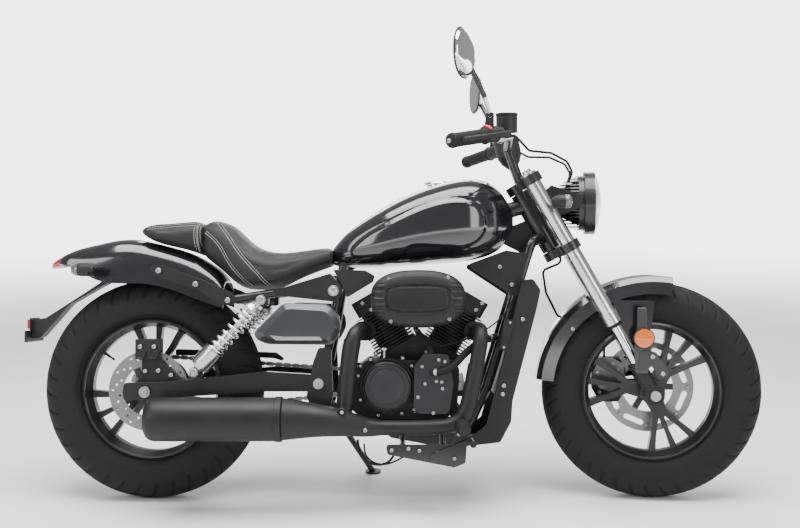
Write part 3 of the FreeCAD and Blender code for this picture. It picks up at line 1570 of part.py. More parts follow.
def build():
    """All nodes as they stand, over the origin at the middle of the machine's underside."""
    shapes = {}
    for name, make in {**frame_nodes, **rear_wheel_nodes}.items():
        shapes[name] = placed(make())
    for name, make in {**steering_nodes, **front_wheel_nodes}.items():
        shapes[name] = placed(steered(make()))
    shapes["main_frame"] = joined([shapes["main_frame"]] + stand_mount())
    shapes["side_stand"] = side_stand()
    low = vec(1e6, 1e6, 0)
    high = vec(-1e6, -1e6, 0)
    for shape in shapes.values():
        bounds = shape.optimalBoundingBox(False, False)
        low = vec(min(low.x, bounds.XMin), min(low.y, bounds.YMin), 0)
        high = vec(max(high.x, bounds.XMax), max(high.y, bounds.YMax), 0)
    shift = (low + high) * -0.5
    for shape in shapes.values():
        shape.translate(shift)
    return shapes, shift


if __name__ == "__main__":
    os.makedirs("parts", exist_ok=True)
    nodes, origin_shift = build()
    for node, solid in nodes.items():
        solid.exportStep("parts/" + node + ".step")
        print(node, len(solid.Solids), round(solid.Volume / 1000), solid.isValid())
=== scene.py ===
import json
import math
import bmesh
import bpy
import numpy as np
from mathutils import Matrix, Vector
from mathutils.bvhtree import BVHTree


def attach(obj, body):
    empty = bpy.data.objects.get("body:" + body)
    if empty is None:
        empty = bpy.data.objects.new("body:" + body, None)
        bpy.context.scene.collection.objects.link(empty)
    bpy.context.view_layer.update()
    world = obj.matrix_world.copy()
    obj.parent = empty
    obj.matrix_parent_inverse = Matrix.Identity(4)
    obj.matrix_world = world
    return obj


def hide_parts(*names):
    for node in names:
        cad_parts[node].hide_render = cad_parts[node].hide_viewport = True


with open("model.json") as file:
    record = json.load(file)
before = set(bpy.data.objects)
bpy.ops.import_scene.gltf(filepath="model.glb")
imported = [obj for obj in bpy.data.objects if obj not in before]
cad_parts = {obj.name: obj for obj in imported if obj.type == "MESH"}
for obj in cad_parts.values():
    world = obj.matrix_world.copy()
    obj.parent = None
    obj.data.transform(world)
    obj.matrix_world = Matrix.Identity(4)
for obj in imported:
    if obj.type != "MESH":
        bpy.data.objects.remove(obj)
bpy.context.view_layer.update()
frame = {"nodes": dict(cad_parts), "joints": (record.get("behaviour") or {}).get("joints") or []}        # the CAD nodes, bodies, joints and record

# Where the machine stands. Pieces are written in millimetres on the upright machine, X forward, Y left, Z up,
# then leaned onto the side stand, so each shape keeps the numbers of its own drawing.

layout = {
    "lean": 8.0,
    "pitch": -0.0436,
    "rake": 29.6,
    "steer": -7.1,
    "rearAxle": (0.0, 0.0, 308.139),
    "frontAxle": (1400.0, 0.0, 304.541),
    "forkOffset": 45.0,
}


def turnAbout(axis, degrees):
    # Rodrigues: cos times identity, sin times the cross matrix, the rest along the axis itself
    x, y, z = np.asarray(axis, float) / np.linalg.norm(axis)
    cross = np.array([[0, -z, y], [z, 0, -x], [-y, x, 0]])
    angle = math.radians(degrees)
    return np.eye(3) + math.sin(angle) * cross + (1 - math.cos(angle)) * cross @ cross


rearAxle = np.array(layout["rearAxle"])
frontAxle = np.array(layout["frontAxle"])
rake = math.radians(layout["rake"])
steerUp = np.array([-math.sin(rake), 0.0, math.cos(rake)])
steerAhead = np.array([math.cos(rake), 0.0, math.sin(rake)])
steerBase = frontAxle - steerAhead * layout["forkOffset"]
settleTurn = turnAbout((0, 1, 0), layout["pitch"]) @ turnAbout((1, 0, 0), -layout["lean"])
steerTurn = turnAbout(steerUp, layout["steer"])
rearHub = np.array([joint["pos_m"] for joint in frame["joints"] if joint["child"] == "rear_wheel"][0])


def onFrame(points):
    # upright millimetres to the leaned machine in metres
    return (np.asarray(points, float) - rearAxle) @ settleTurn.T / 1000.0 + rearHub


def onFork(points):
    # steering drawn straight ahead, then turned to where it rests
    return onFrame((np.asarray(points, float) - steerBase) @ steerTurn.T + steerBase)


def onRearWheel(points):
    return onFrame(np.asarray(points, float) + rearAxle)


def onFrontWheel(points):
    return onFork(np.asarray(points, float) + frontAxle)


placing = {"frame": onFrame, "steering": onFork, "rear_wheel": onRearWheel, "front_wheel": onFrontWheel}

# Camera and light: the camera of the photo, and soft lights round it

cameraPlan = {
    "place": (703.0, -2919.0, 568.0),
    "look": (-0.0035, 1.0, 0.0314),
    "focalPixels": 1025.6,
    "imageWidth": 800,
    "sensor": 36.0,
}

lightPlan = {
    "overhead": {"place": (0.0, -0.5, 3.1), "aim": (0.0, 0.0, 0.5), "size": (3.6, 2.0), "power": 250.0},
    "cameraLeft": {"place": (-2.7, -2.3, 1.7), "aim": (-0.1, 0.0, 0.5), "size": (1.3, 1.9), "power": 46.0},
    "cameraRight": {"place": (2.5, -2.6, 1.5), "aim": (0.2, 0.0, 0.5), "size": (1.1, 1.8), "power": 34.0},
    "behind": {"place": (0.2, 2.7, 2.0), "aim": (0.0, 0.0, 0.6), "size": (3.0, 1.2), "power": 60.0},
}


def aimed(place, aim):
    # a camera or lamp looks down its own -Z, with +Y up
    back = (Vector(place) - Vector(aim)).normalized()
    right = Vector((0, 0, 1)).cross(back).normalized()
    up = back.cross(right)
    turned = Matrix((right, up, back)).transposed().to_4x4()
    turned.translation = Vector(place)
    return turned


def buildCamera():
    place = onFrame(cameraPlan["place"])
    aim = onFrame(np.array(cameraPlan["place"]) + np.array(cameraPlan["look"]) * 1000.0)
    data = bpy.data.cameras.new("camera")
    data.sensor_width = cameraPlan["sensor"]
    data.lens = cameraPlan["sensor"] * cameraPlan["focalPixels"] / cameraPlan["imageWidth"]
    data.clip_end = 60
    camera = bpy.data.objects.new("camera", data)
    camera.matrix_world = aimed(place, aim)
    bpy.context.scene.collection.objects.link(camera)
    bpy.context.scene.camera = camera


def buildLights():
    for name, plan in lightPlan.items():
        data = bpy.data.lights.new(name, "AREA")
        data.shape = "RECTANGLE"
        data.size, data.size_y = plan["size"]
        data.energy = plan["power"]
        lamp = bpy.data.objects.new(name, data)
        lamp.matrix_world = aimed(plan["place"], plan["aim"])
        bpy.context.scene.collection.objects.link(lamp)


worldPlan = {"seen": 4.4, "lighting": 0.38, "floorColor": (0.9, 0.9, 0.905, 1.0), "floorRoughness": 0.6,
             "fadeFrom": 2.2, "fadeTo": 8.0}


def feed(tree, node, values):
    # sets each named input, or links it where the value is another node's output
    for key, value in values.items():
        if isinstance(value, bpy.types.NodeSocket):
            tree.links.new(value, node.inputs[key])
        else:
            node.inputs[key].default_value = value
    return node


def addNode(tree, kind, values=None, **settings):
    node = tree.nodes.new(kind)
    for key, value in settings.items():
        setattr(node, key, value)
    return feed(tree, node, values or {})


def buildWorld():
    # bright behind the machine, dimmer as light on it
    world = bpy.data.worlds.new("studio")
    world.use_nodes = True
    tree = world.node_tree
    tree.nodes.clear()
    seen, lighting = [addNode(tree, "ShaderNodeBackground", {"Color": (1, 1, 1, 1), "Strength": worldPlan[key]})
                      for key in ("seen", "lighting")]
    path = addNode(tree, "ShaderNodeLightPath")
    mix = addNode(tree, "ShaderNodeMixShader", {"Fac": path.outputs["Is Camera Ray"], 1: lighting.outputs[0],
                                                2: seen.outputs[0]})
    addNode(tree, "ShaderNodeOutputWorld", {"Surface": mix.outputs[0]})
    bpy.context.scene.world = world


print("camera, light and world")
buildCamera()
buildLights()
buildWorld()

# Shader groups shared by the materials


def newGroup(name, inputs, outputs):
    group = bpy.data.node_groups.new(name, "ShaderNodeTree")
    for label, kind, value in inputs:
        socket = group.interface.new_socket(label, in_out="INPUT", socket_type="NodeSocket" + kind)
        if value is not None:
            socket.default_value = value
    for label, kind in outputs:
        group.interface.new_socket(label, in_out="OUTPUT", socket_type="NodeSocket" + kind)
    return group, group.nodes.new("NodeGroupInput"), group.nodes.new("NodeGroupOutput")


def feedGroup(group, outs, values):
    feed(group, outs, values)
    return group


def noise(tree, place, scale, detail=2.0, roughness=0.5):
    return addNode(tree, "ShaderNodeTexNoise", {"Vector": place, "Scale": scale, "Detail": detail,
                                                "Roughness": roughness}).outputs["Fac"]


def spread(tree, value, low, high, first=0.0, last=1.0, **settings):
    # takes a value from one range to another and holds it at both ends
    return addNode(tree, "ShaderNodeMapRange", {"Value": value, "From Min": low, "From Max": high,
                                                "To Min": first, "To Max": last}, **settings).outputs["Result"]


def product(tree, first, second):
    return addNode(tree, "ShaderNodeMath", {0: first, 1: second}, operation="MULTIPLY").outputs["Value"]


def grainGroup():
    # two sizes of noise, as cast or moulded skin has: one for its height, one for its colour
    group, ins, outs = newGroup("grain", [("Vector", "Vector", None), ("Scale", "Float", 400.0)],
                                [("Height", "Float"), ("Cloud", "Float")])
    place = ins.outputs["Vector"]
    return feedGroup(group, outs, {"Height": noise(group, place, ins.outputs["Scale"], 3.0, 0.6),
                                   "Cloud": noise(group, place, 9.0, 4.0, 0.55)})


def edgeGroup():
    # compares the true normal with one rounded over a small radius: they part only along edges
    group, ins, outs = newGroup("softEdge", [("Vector", "Vector", None), ("Radius", "Float", 0.001)],
                                [("Normal", "Vector"), ("Wear", "Float")])
    rounded = addNode(group, "ShaderNodeBevel", {"Radius": ins.outputs["Radius"]}, samples=4).outputs["Normal"]
    true = addNode(group, "ShaderNodeNewGeometry").outputs["Normal"]
    dot = addNode(group, "ShaderNodeVectorMath", {0: rounded, 1: true},
                  operation="DOT_PRODUCT").outputs["Value"]
    patches = spread(group, noise(group, ins.outputs["Vector"], 60.0, 3.0), 0.42, 0.62)
    return feedGroup(group, outs, {"Normal": rounded, "Wear": product(group, spread(group, dot, 0.97, 0.8),
                                                                      patches)})


def dustGroup():
    # settles on faces that look up, broken by a cloud
    group, ins, outs = newGroup("dust", [("Cloud", "Float", 0.5)], [("Mask", "Float")])
    normal = addNode(group, "ShaderNodeNewGeometry").outputs["Normal"]
    upward = spread(group, addNode(group, "ShaderNodeSeparateXYZ", {0: normal}).outputs["Z"], 0.2, 1.0)
    return feedGroup(group, outs, {"Mask": product(group, upward, ins.outputs["Cloud"])})


edgeRadius = 0.0012
groups = {"grain": grainGroup(), "edge": edgeGroup(), "dust": dustGroup()}


def useGroup(tree, name, values):
    return addNode(tree, "ShaderNodeGroup", values, node_tree=groups[name]).outputs


# Materials. Every hard finish goes through one recipe: grain for the skin, a cloud for uneven colour and gloss,
# rounded edges that may wear, and a little dust on top. The values of a finish are in the order of finishKeys.

finishKeys = ("color", "tint", "rough", "metal", "coat", "grain", "depth", "wear", "dust", "specular")
finishRows = {
    "lacquerBlack": ((0.006, 0.006, 0.007), (0.01, 0.01, 0.012), (0.13, 0.2), 0, 1, 900, 1e-5, 0, 0, 0.5),
    "frameBlack": ((0.007, 0.007, 0.0075), (0.012, 0.012, 0.0125), (0.3, 0.42), 0, 0.35, 700, 3e-5, 0.12,
                   0.03, 0.35),
    "wheelBlack": ((0.007, 0.007, 0.0075), (0.013, 0.013, 0.014), (0.32, 0.45), 0, 0.25, 800, 4e-5, 0.1,
                   0.02, 0.35),
    "engineBlack": ((0.009, 0.009, 0.0095), (0.017, 0.017, 0.018), (0.42, 0.58), 0.1, 0, 1100, 1e-4, 0.35,
                    0.03, 0.3),
    "castAlloy": ((0.2, 0.2, 0.205), (0.3, 0.3, 0.305), (0.4, 0.56), 0.85, 0, 900, 1e-4, 0.2, 0.03, 0.5),
    "satinAlloy": ((0.5, 0.5, 0.51), (0.62, 0.62, 0.63), (0.22, 0.36), 1, 0, 1200, 3e-5, 0, 0.02, 0.5),
    "coverSteel": ((0.03, 0.03, 0.032), (0.048, 0.048, 0.05), (0.3, 0.42), 0.7, 0.2, 1000, 4e-5, 0.25, 0.02,
                   0.5),
    "chrome": ((0.78, 0.78, 0.8), (0.86, 0.86, 0.88), (0.05, 0.1), 1, 0, 500, 5e-6, 0, 0, 0.5),
    "forkSilver": ((0.6, 0.6, 0.62), (0.7, 0.7, 0.71), (0.18, 0.26), 1, 0, 900, 1e-5, 0, 0, 0.5),
    "steel": ((0.36, 0.36, 0.365), (0.5, 0.5, 0.5), (0.24, 0.4), 1, 0, 1500, 3e-5, 0, 0.02, 0.5),
    "zinc": ((0.42, 0.42, 0.4), (0.55, 0.54, 0.5), (0.25, 0.4), 1, 0, 1500, 2e-5, 0, 0, 0.5),
    "coverGrey": ((0.04, 0.041, 0.043), (0.052, 0.053, 0.055), (0.28, 0.36), 0.45, 0.3, 1600, 1e-5, 0.05, 0,
                  0.5),
    "blackPlastic": ((0.008, 0.008, 0.0085), (0.013, 0.013, 0.0135), (0.46, 0.6), 0, 0, 1500, 9e-5, 0, 0.04,
                     0.3),
    "heatBlack": ((0.007, 0.007, 0.007), (0.012, 0.0118, 0.0115), (0.42, 0.56), 0, 0, 1000, 6e-5, 0.06, 0.02,
                  0.3),
    "softRubber": ((0.008, 0.008, 0.008), (0.012, 0.012, 0.012), (0.6, 0.75), 0, 0, 900, 8e-5, 0, 0.02, 0.22),
    "tyreRubber": ((0.008, 0.008, 0.008), (0.013, 0.0127, 0.0123), (0.62, 0.8), 0, 0, 700, 9e-5, 0, 0.02, 0.2),
    "stitchThread": ((0.4, 0.39, 0.37), (0.55, 0.54, 0.5), (0.7, 0.8), 0, 0, 3000, 6e-5, 0, 0, 0.5),
    "stripGrey": ((0.05, 0.05, 0.052), (0.07, 0.07, 0.072), (0.3, 0.4), 0.8, 0.2, 1500, 2e-5, 0.1, 0, 0.5),
    "switchRed": ((0.5, 0.03, 0.035), (0.58, 0.04, 0.045), (0.3, 0.4), 0, 0.3, 1500, 2e-5, 0, 0, 0.5),
    "trimSilver": ((0.5, 0.5, 0.51), (0.58, 0.58, 0.6), (0.28, 0.38), 0.9, 0.3, 2000, 1e-5, 0, 0, 0.5),
}
finishes = {name: dict(zip(finishKeys, row)) for name, row in finishRows.items()}
bareMetal = (0.4, 0.4, 0.4, 1.0)
dustColor = (0.25, 0.23, 0.2, 1.0)
lenses = {
    "redLens": ((0.55, 0.01, 0.008), (0.22, 0.004, 0.003)),
    "amberLens": ((0.95, 0.24, 0.02), (0.6, 0.1, 0.008)),
    "clearLens": ((0.95, 0.96, 0.98), (0.85, 0.87, 0.9), 0.45, 0.6),
    "smokeLens": ((0.1, 0.1, 0.1), (0.05, 0.05, 0.05)),
    "reflexAmber": ((0.66, 0.14, 0.006), (0.55, 0.1, 0.004)),
}


def mixColor(tree, factor, first, second):
    return addNode(tree, "ShaderNodeMix", {0: factor, 6: first, 7: second}, data_type="RGBA").outputs[2]


def bumped(tree, height, strength, distance, **normal):
    return addNode(tree, "ShaderNodeBump", {"Height": height, "Strength": strength, "Distance": distance,
                                            **normal}).outputs["Normal"]


def newMaterial(name):
    material = bpy.data.materials.new(name)
    material.use_nodes = True
    return material, material.node_tree, addNode(material.node_tree, "ShaderNodeTexCoord").outputs["Object"]


def finished(material, values):
    feed(material.node_tree, material.node_tree.nodes["Principled BSDF"], values)
    return material


def hardFinish(name, plan):
    material, tree, place = newMaterial(name)
    grain = useGroup(tree, "grain", {"Vector": place, "Scale": plan["grain"]})
    edge = useGroup(tree, "edge", {"Vector": place, "Radius": edgeRadius})
    color = mixColor(tree, grain["Cloud"], (*plan["color"], 1), (*plan["tint"], 1))
    if plan["wear"] > 0:
        color = mixColor(tree, product(tree, edge["Wear"], plan["wear"]), color, bareMetal)
    if plan["dust"] > 0:
        dust = useGroup(tree, "dust", {"Cloud": grain["Cloud"]})["Mask"]
        color = mixColor(tree, product(tree, dust, plan["dust"]), color, dustColor)
    return finished(material, {
        "Base Color": color, "Roughness": spread(tree, grain["Cloud"], 0.3, 0.7, *plan["rough"]),
        "Normal": bumped(tree, grain["Height"], 1.0, plan["depth"], Normal=edge["Normal"]),
        "Metallic": plan["metal"], "Coat Weight": plan["coat"], "Coat Roughness": 0.06,
        "Specular IOR Level": plan["specular"]})


def leatherFinish():
    # small cells raised over a slow cloud
    material, tree, place = newMaterial("seatLeather")
    cells = addNode(tree, "ShaderNodeTexVoronoi", {"Vector": place, "Scale": 520.0}, feature="DISTANCE_TO_EDGE")
    cloud = noise(tree, place, 26.0, 5.0)
    height = addNode(tree, "ShaderNodeMath", {0: spread(tree, cells.outputs["Distance"], 0.0, 0.12), 1: cloud},
                     operation="ADD").outputs["Value"]
    return finished(material, {
        "Base Color": mixColor(tree, cloud, (0.007, 0.0069, 0.0069, 1), (0.013, 0.0127, 0.0124, 1)),
        "Roughness": spread(tree, cloud, 0.3, 0.7, 0.42, 0.58), "Normal": bumped(tree, height, 0.7, 0.0002),
        "Sheen Weight": 0.04, "Specular IOR Level": 0.32})


def lensFinish(name, color, deep, alpha=1.0, clear=0.0):
    # ribs inside a coloured lens, under a clear coat
    material, tree, place = newMaterial(name)
    ribs = addNode(tree, "ShaderNodeTexWave", {"Vector": place, "Scale": 60.0, "Distortion": 0.0},
                   bands_direction="Z").outputs["Fac"]
    return finished(material, {
        "Base Color": mixColor(tree, ribs, (*deep, 1), (*color, 1)), "Normal": bumped(tree, ribs, 0.4, 0.0006),
        "Roughness": 0.08, "Coat Weight": 1.0, "Transmission Weight": clear, "Alpha": alpha})


def discFinish(name, child, split):
    # bright brushed ring outside the split radius, black carrier inside it
    joint = [one for one in frame["joints"] if one["child"] == child][0]
    material, tree, place = newMaterial(name)
    away = addNode(tree, "ShaderNodeVectorMath", {0: place, 1: tuple(joint["pos_m"])}, operation="SUBTRACT")
    square = addNode(tree, "ShaderNodeVectorMath", {0: away.outputs["Vector"], 1: tuple(joint["axis"])},
                     operation="CROSS_PRODUCT")
    reach = addNode(tree, "ShaderNodeVectorMath", {0: square.outputs["Vector"]},
                    operation="LENGTH").outputs["Value"]
    ring = spread(tree, reach, split - 0.0004, split + 0.0004)
    brushed = noise(tree, reach, 1400.0)
    silver = mixColor(tree, brushed, (0.2, 0.2, 0.2, 1), (0.32, 0.32, 0.32, 1))
    return finished(material, {
        "Base Color": mixColor(tree, ring, (0.014, 0.014, 0.015, 1), silver), "Metallic": ring,
        "Roughness": 0.36, "Normal": bumped(tree, brushed, 0.6, 0.00003)})


def mirrorFinish():
    material, tree, place = newMaterial("mirrorGlass")
    return finished(material, {"Base Color": (0.88, 0.9, 0.91, 1), "Metallic": 1.0,
                               "Roughness": spread(tree, noise(tree, place, 30.0), 0.0, 1.0, 0.01, 0.04)})


def floorFinish():
    # pale paint that fades with distance into the light of the backdrop, so no hard horizon shows
    material, tree, place = newMaterial("paleFloor")
    low = tuple(value * 0.985 for value in worldPlan["floorColor"][:3]) + (1,)
    paint = mixColor(tree, noise(tree, place, 1.3, 3.0), low, worldPlan["floorColor"])
    reach = addNode(tree, "ShaderNodeVectorMath", {0: place}, operation="LENGTH").outputs["Value"]
    fade = spread(tree, reach, worldPlan["fadeFrom"], worldPlan["fadeTo"], interpolation_type="SMOOTHSTEP")
    return finished(material, {
        "Base Color": mixColor(tree, fade, paint, (0, 0, 0, 1)),
        "Emission Color": mixColor(tree, fade, (0, 0, 0, 1), (1, 1, 1, 1)),
        "Emission Strength": worldPlan["seen"], "Roughness": worldPlan["floorRoughness"],
        "Specular IOR Level": 0.2})


print("materials")
materials = {name: hardFinish(name, plan) for name, plan in finishes.items()}
materials.update({name: lensFinish(name, *plan) for name, plan in lenses.items()})
materials["seatLeather"] = leatherFinish()
materials["dialGlass"] = hardFinish("dialGlass", {**finishes["lacquerBlack"], "rough": (0.05, 0.08)})
materials["frontDisc"] = discFinish("frontDisc", "front_wheel", 0.072)
materials["rearDisc"] = discFinish("rearDisc", "rear_wheel", 0.07)
materials["mirrorGlass"] = mirrorFinish()
materials["paleFloor"] = floorFinish()

# The CAD nodes that wear each finish

nodeFinish = {
    "frameBlack": "main_frame swingarm fender_struts footpegs foot_levers triple_clamps handlebar "
                  "headlamp_shell side_stand",
    "steel": "rear_axle chain rear_sprocket front_axle",
    "zinc": "pivot_bolt",
    "satinAlloy": "shock_bodies",
    "chrome": "shock_springs tank_cap stanchions mirrors",
    "engineBlack": "engine_cases cylinders air_cleaner rear_caliper fork_lowers front_caliper",
    "coverSteel": "engine_side_covers",
    "castAlloy": "inlet radiator",
    "lacquerBlack": "fuel_tank rear_fender front_fender",
    "seatLeather": "rider_seat passenger_seat",
    "redLens": "tail_lamp rear_reflector",
    "blackPlastic": "rear_signals plate_bracket neck_covers radiator_shroud chain_guard hand_controls "
                    "instrument front_signals",
    "coverGrey": "side_covers",
    "heatBlack": "exhaust_pipes muffler",
    "tyreRubber": "rear_tyre front_tyre",
    "wheelBlack": "rear_wheel_casting front_wheel_casting",
    "rearDisc": "rear_disc",
    "frontDisc": "front_disc",
    "forkSilver": "fork_tubes",
    "softRubber": "grips control_cables",
    "mirrorGlass": "mirror_glass",
    "clearLens": "headlamp_lens",
    "amberLens": "fork_reflectors",
}


def dressNodes():
    for finish, names in nodeFinish.items():
        for name in names.split():
            data = frame["nodes"][name].data
            data.materials.clear()
            data.materials.append(materials[finish])


dressNodes()

# Mesh making


def gridFaces(rows, columns, wrapRows=False, wrapColumns=False):
    # one quad between each four neighbours of a grid, wrapped round where a shape closes
    i = np.arange(rows if wrapRows else rows - 1)[:, None]
    j = np.arange(columns if wrapColumns else columns - 1)[None, :]
    nextI, nextJ = (i + 1) % rows, (j + 1) % columns
    quads = np.stack([i * columns + j, nextI * columns + j, nextI * columns + nextJ, i * columns + nextJ],
                     axis=-1)
    return quads.reshape(-1, 4)


def addPiece(name, shape, finish, body="frame", sharp=40.0):
    # one (points, faces) pair or a list of them, in millimetres in the body's own drawing
    points, faces = together(shape) if isinstance(shape, list) else shape
    spots = placing[body](np.asarray(points, float).reshape(-1, 3))
    mesh = bpy.data.meshes.new(name)
    mesh.vertices.add(len(spots))
    mesh.vertices.foreach_set("co", spots.astype(np.float32).ravel())
    mesh.loops.add(faces.size)
    mesh.loops.foreach_set("vertex_index", faces.astype(np.int32).ravel())
    mesh.polygons.add(len(faces))
    mesh.polygons.foreach_set("loop_start", np.arange(0, faces.size, faces.shape[1], dtype=np.int32))
    mesh.update(calc_edges=True)
    merged = bmesh.new()
    merged.from_mesh(mesh)
    bmesh.ops.remove_doubles(merged, verts=merged.verts, dist=1e-6)
    bmesh.ops.dissolve_degenerate(merged, edges=merged.edges, dist=1e-7)
    bmesh.ops.recalc_face_normals(merged, faces=merged.faces)
    merged.to_mesh(mesh)
    merged.free()
    mesh.polygons.foreach_set("use_smooth", np.ones(len(mesh.polygons), bool))
    mesh.set_sharp_from_angle(angle=math.radians(sharp))
    mesh.materials.append(materials[finish])
    piece = bpy.data.objects.new(name, mesh)
    bpy.context.scene.collection.objects.link(piece)
    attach(piece, body)
    return piece


print("stage")
floorMesh = bpy.data.meshes.new("floor")
floorHalf = 14.0
floorMesh.from_pydata([(-floorHalf, -floorHalf, 0), (floorHalf, -floorHalf, 0), (floorHalf, floorHalf, 0),
                       (-floorHalf, floorHalf, 0)], [], [(0, 1, 2, 3)])
floorMesh.materials.append(materials["paleFloor"])
floorPiece = bpy.data.objects.new("floor", floorMesh)
bpy.context.scene.collection.objects.link(floorPiece)

# Shapes used again and again


def fullTurn(count):
    return np.linspace(0, 2 * np.pi, count, endpoint=False)


def smoothTable(knots, values, at):
    # natural cubic spline through rows of values, solved for its second slopes
    knots, values, at = np.asarray(knots, float), np.asarray(values, float), np.asarray(at, float)
    steps = np.diff(knots)
    count = len(knots)
    system = np.eye(count)
    right = np.zeros_like(values)
    inner = np.arange(1, count - 1)
    system[inner, inner - 1] = steps[:-1]
    system[inner, inner] = 2 * (steps[:-1] + steps[1:])
    system[inner, inner + 1] = steps[1:]
    slopes = np.diff(values, axis=0) / steps[:, None]
    right[1:-1] = 6 * np.diff(slopes, axis=0)
    bends = np.linalg.solve(system, right)
    cell = np.clip(np.searchsorted(knots, at) - 1, 0, count - 2)
    width = steps[cell][:, None]
    low, high = (knots[cell + 1] - at)[:, None] / width, (at - knots[cell])[:, None] / width
    return (low * values[cell] + high * values[cell + 1]
            + ((low ** 3 - low) * bends[cell] + (high ** 3 - high) * bends[cell + 1]) * width ** 2 / 6)


def smoothPath(controls, count):
    # spline through the control points, spaced evenly by the straight distance between them
    controls = np.asarray(controls, float)
    if len(controls) == 2:
        return np.linspace(controls[0], controls[1], count)
    reach = np.concatenate([[0], np.cumsum(np.linalg.norm(np.diff(controls, axis=0), axis=1))])
    return smoothTable(reach, controls, np.linspace(0, reach[-1], count))


def softStep(value, low, high):
    # cubic ease from 0 at low to 1 at high
    t = np.clip((value - low) / (high - low), 0, 1)
    return t * t * (3 - 2 * t)


def signedPower(value, exponent):
    return np.sign(value) * np.abs(value) ** exponent


def framesAlong(path):
    # a side and an up direction at each point, carried along so they never twist
    forward = np.gradient(path, axis=0)
    forward /= np.linalg.norm(forward, axis=1)[:, None]
    side = np.cross(forward[0], (0.3, 0.2, 0.93))
    sides = []
    for ahead in forward:
        side = side - ahead * np.dot(side, ahead)
        side = side / np.linalg.norm(side)
        sides.append(side)
    sides = np.array(sides)
    return sides, np.cross(forward, sides)


def tubeBody(path, radius, sides=12, squashed=1.0):
    # circles of the given radii carried along a path, closed at both ends
    path = np.asarray(path, float)
    side, up = framesAlong(path)
    radii = np.broadcast_to(np.asarray(radius, float), len(path))
    path, side, up = (np.concatenate([a[:1], a, a[-1:]]) for a in (path, side, up))
    radii = np.concatenate([[0], radii, [0]])
    turn = fullTurn(sides)
    points = (path[:, None] + radii[:, None, None] * (np.cos(turn)[None, :, None] * side[:, None]
                                                      + squashed * np.sin(turn)[None, :, None] * up[:, None]))
    return points.reshape(-1, 3), gridFaces(len(path), sides, wrapColumns=True)


def turnedBody(profile, centre=(0, 0, 0), axis=(0, 0, 1), segments=48, ripple=None):
    # (radius, along) points swept round an axis; ripple changes the radius with the angle
    profile = np.asarray(profile, float)
    axis = np.asarray(axis, float) / np.linalg.norm(axis)
    hint = np.array((0.0, 0.0, 1.0)) if abs(axis[2]) < 0.9 else np.array((1.0, 0.0, 0.0))
    across = np.cross(hint, axis)
    across /= np.linalg.norm(across)
    other = np.cross(axis, across)
    turn = fullTurn(segments)
    radius = np.repeat(profile[:, :1], segments, axis=1)
    if ripple is not None:
        radius = radius * ripple(profile, turn)
    points = (np.asarray(centre, float) + profile[:, 1, None, None] * axis
              + radius[:, :, None] * (np.cos(turn)[None, :, None] * across
                                      + np.sin(turn)[None, :, None] * other))
    return points.reshape(-1, 3), gridFaces(len(profile), segments, wrapColumns=True)


def together(bodies):
    # several (points, faces) pairs as one
    points, faces, used = [], [], 0
    for spots, quads in bodies:
        points.append(spots)
        faces.append(quads + used)
        used += len(spots)
    return np.concatenate(points), np.concatenate(faces)


def copiesAt(body, spots, axes, scale):
    # one small body drawn along +Z, set at many places at once
    points, faces = body
    spots, axes = np.asarray(spots, float), np.asarray(axes, float)
    axes = np.broadcast_to(axes, spots.shape)
    axes = axes / np.linalg.norm(axes, axis=1)[:, None]
    hint = np.where(np.abs(axes[:, 2:]) < 0.9, (0.0, 0.0, 1.0), (1.0, 0.0, 0.0))
    across = np.cross(hint, axes)
    across /= np.linalg.norm(across, axis=1)[:, None]
    other = np.cross(axes, across)
    scale = np.broadcast_to(np.asarray(scale, float), len(spots))[:, None, None]
    local = points[None] * scale
    placed = (spots[:, None] + local[..., 0:1] * across[:, None] + local[..., 1:2] * other[:, None]
              + local[..., 2:3] * axes[:, None])
    offsets = np.arange(len(spots))[:, None, None] * len(points)
    return placed.reshape(-1, 3), (faces[None] + offsets).reshape(-1, faces.shape[1])


def loftBody(stations, fullness, rows, columns, roundEnds=0.12, shape=None):
    # superellipse sections between (x, half width, bottom, top) stations, with rounded ends
    stations = np.asarray(stations, float)
    x = np.linspace(stations[0, 0], stations[-1, 0], rows)
    half, bottom, top = smoothTable(stations[:, 0], stations[:, 1:], x).T
    turn = fullTurn(columns)
    y = half[:, None] * signedPower(np.cos(turn), 2 / fullness)
    middle, height = (bottom + top) / 2, (top - bottom) / 2
    z = middle[:, None] + height[:, None] * signedPower(np.sin(turn), 2 / fullness)
    points = np.stack([np.repeat(x[:, None], columns, axis=1), y, z], axis=-1)
    if shape is not None:
        points = shape(points)
    caps = []
    for end, way in ((0, -1), (-1, 1)):
        centre = points[end].mean(axis=0)
        ease = np.linspace(0, 1, 7)[1:]
        share = np.cos(ease * np.pi / 2)[:, None, None]
        push = np.sin(ease * np.pi / 2)[:, None, None] * height[end] * roundEnds * way
        caps.append(centre + (points[end][None] - centre) * share + push * np.array((1.0, 0, 0)))
    points = np.concatenate([caps[0][::-1], points, caps[1]])
    return points.reshape(-1, 3), gridFaces(len(points), columns, wrapColumns=True)


def closedOutline(corners, count):
    # smooth closed line through the corners
    corners = np.asarray(corners, float)
    wrapped = np.concatenate([corners[-3:], corners, corners[:3]])
    reach = np.concatenate([[0], np.cumsum(np.linalg.norm(np.diff(wrapped, axis=0), axis=1))])
    at = np.linspace(reach[3], reach[3 + len(corners)], count, endpoint=False)
    return smoothTable(reach, wrapped, at)


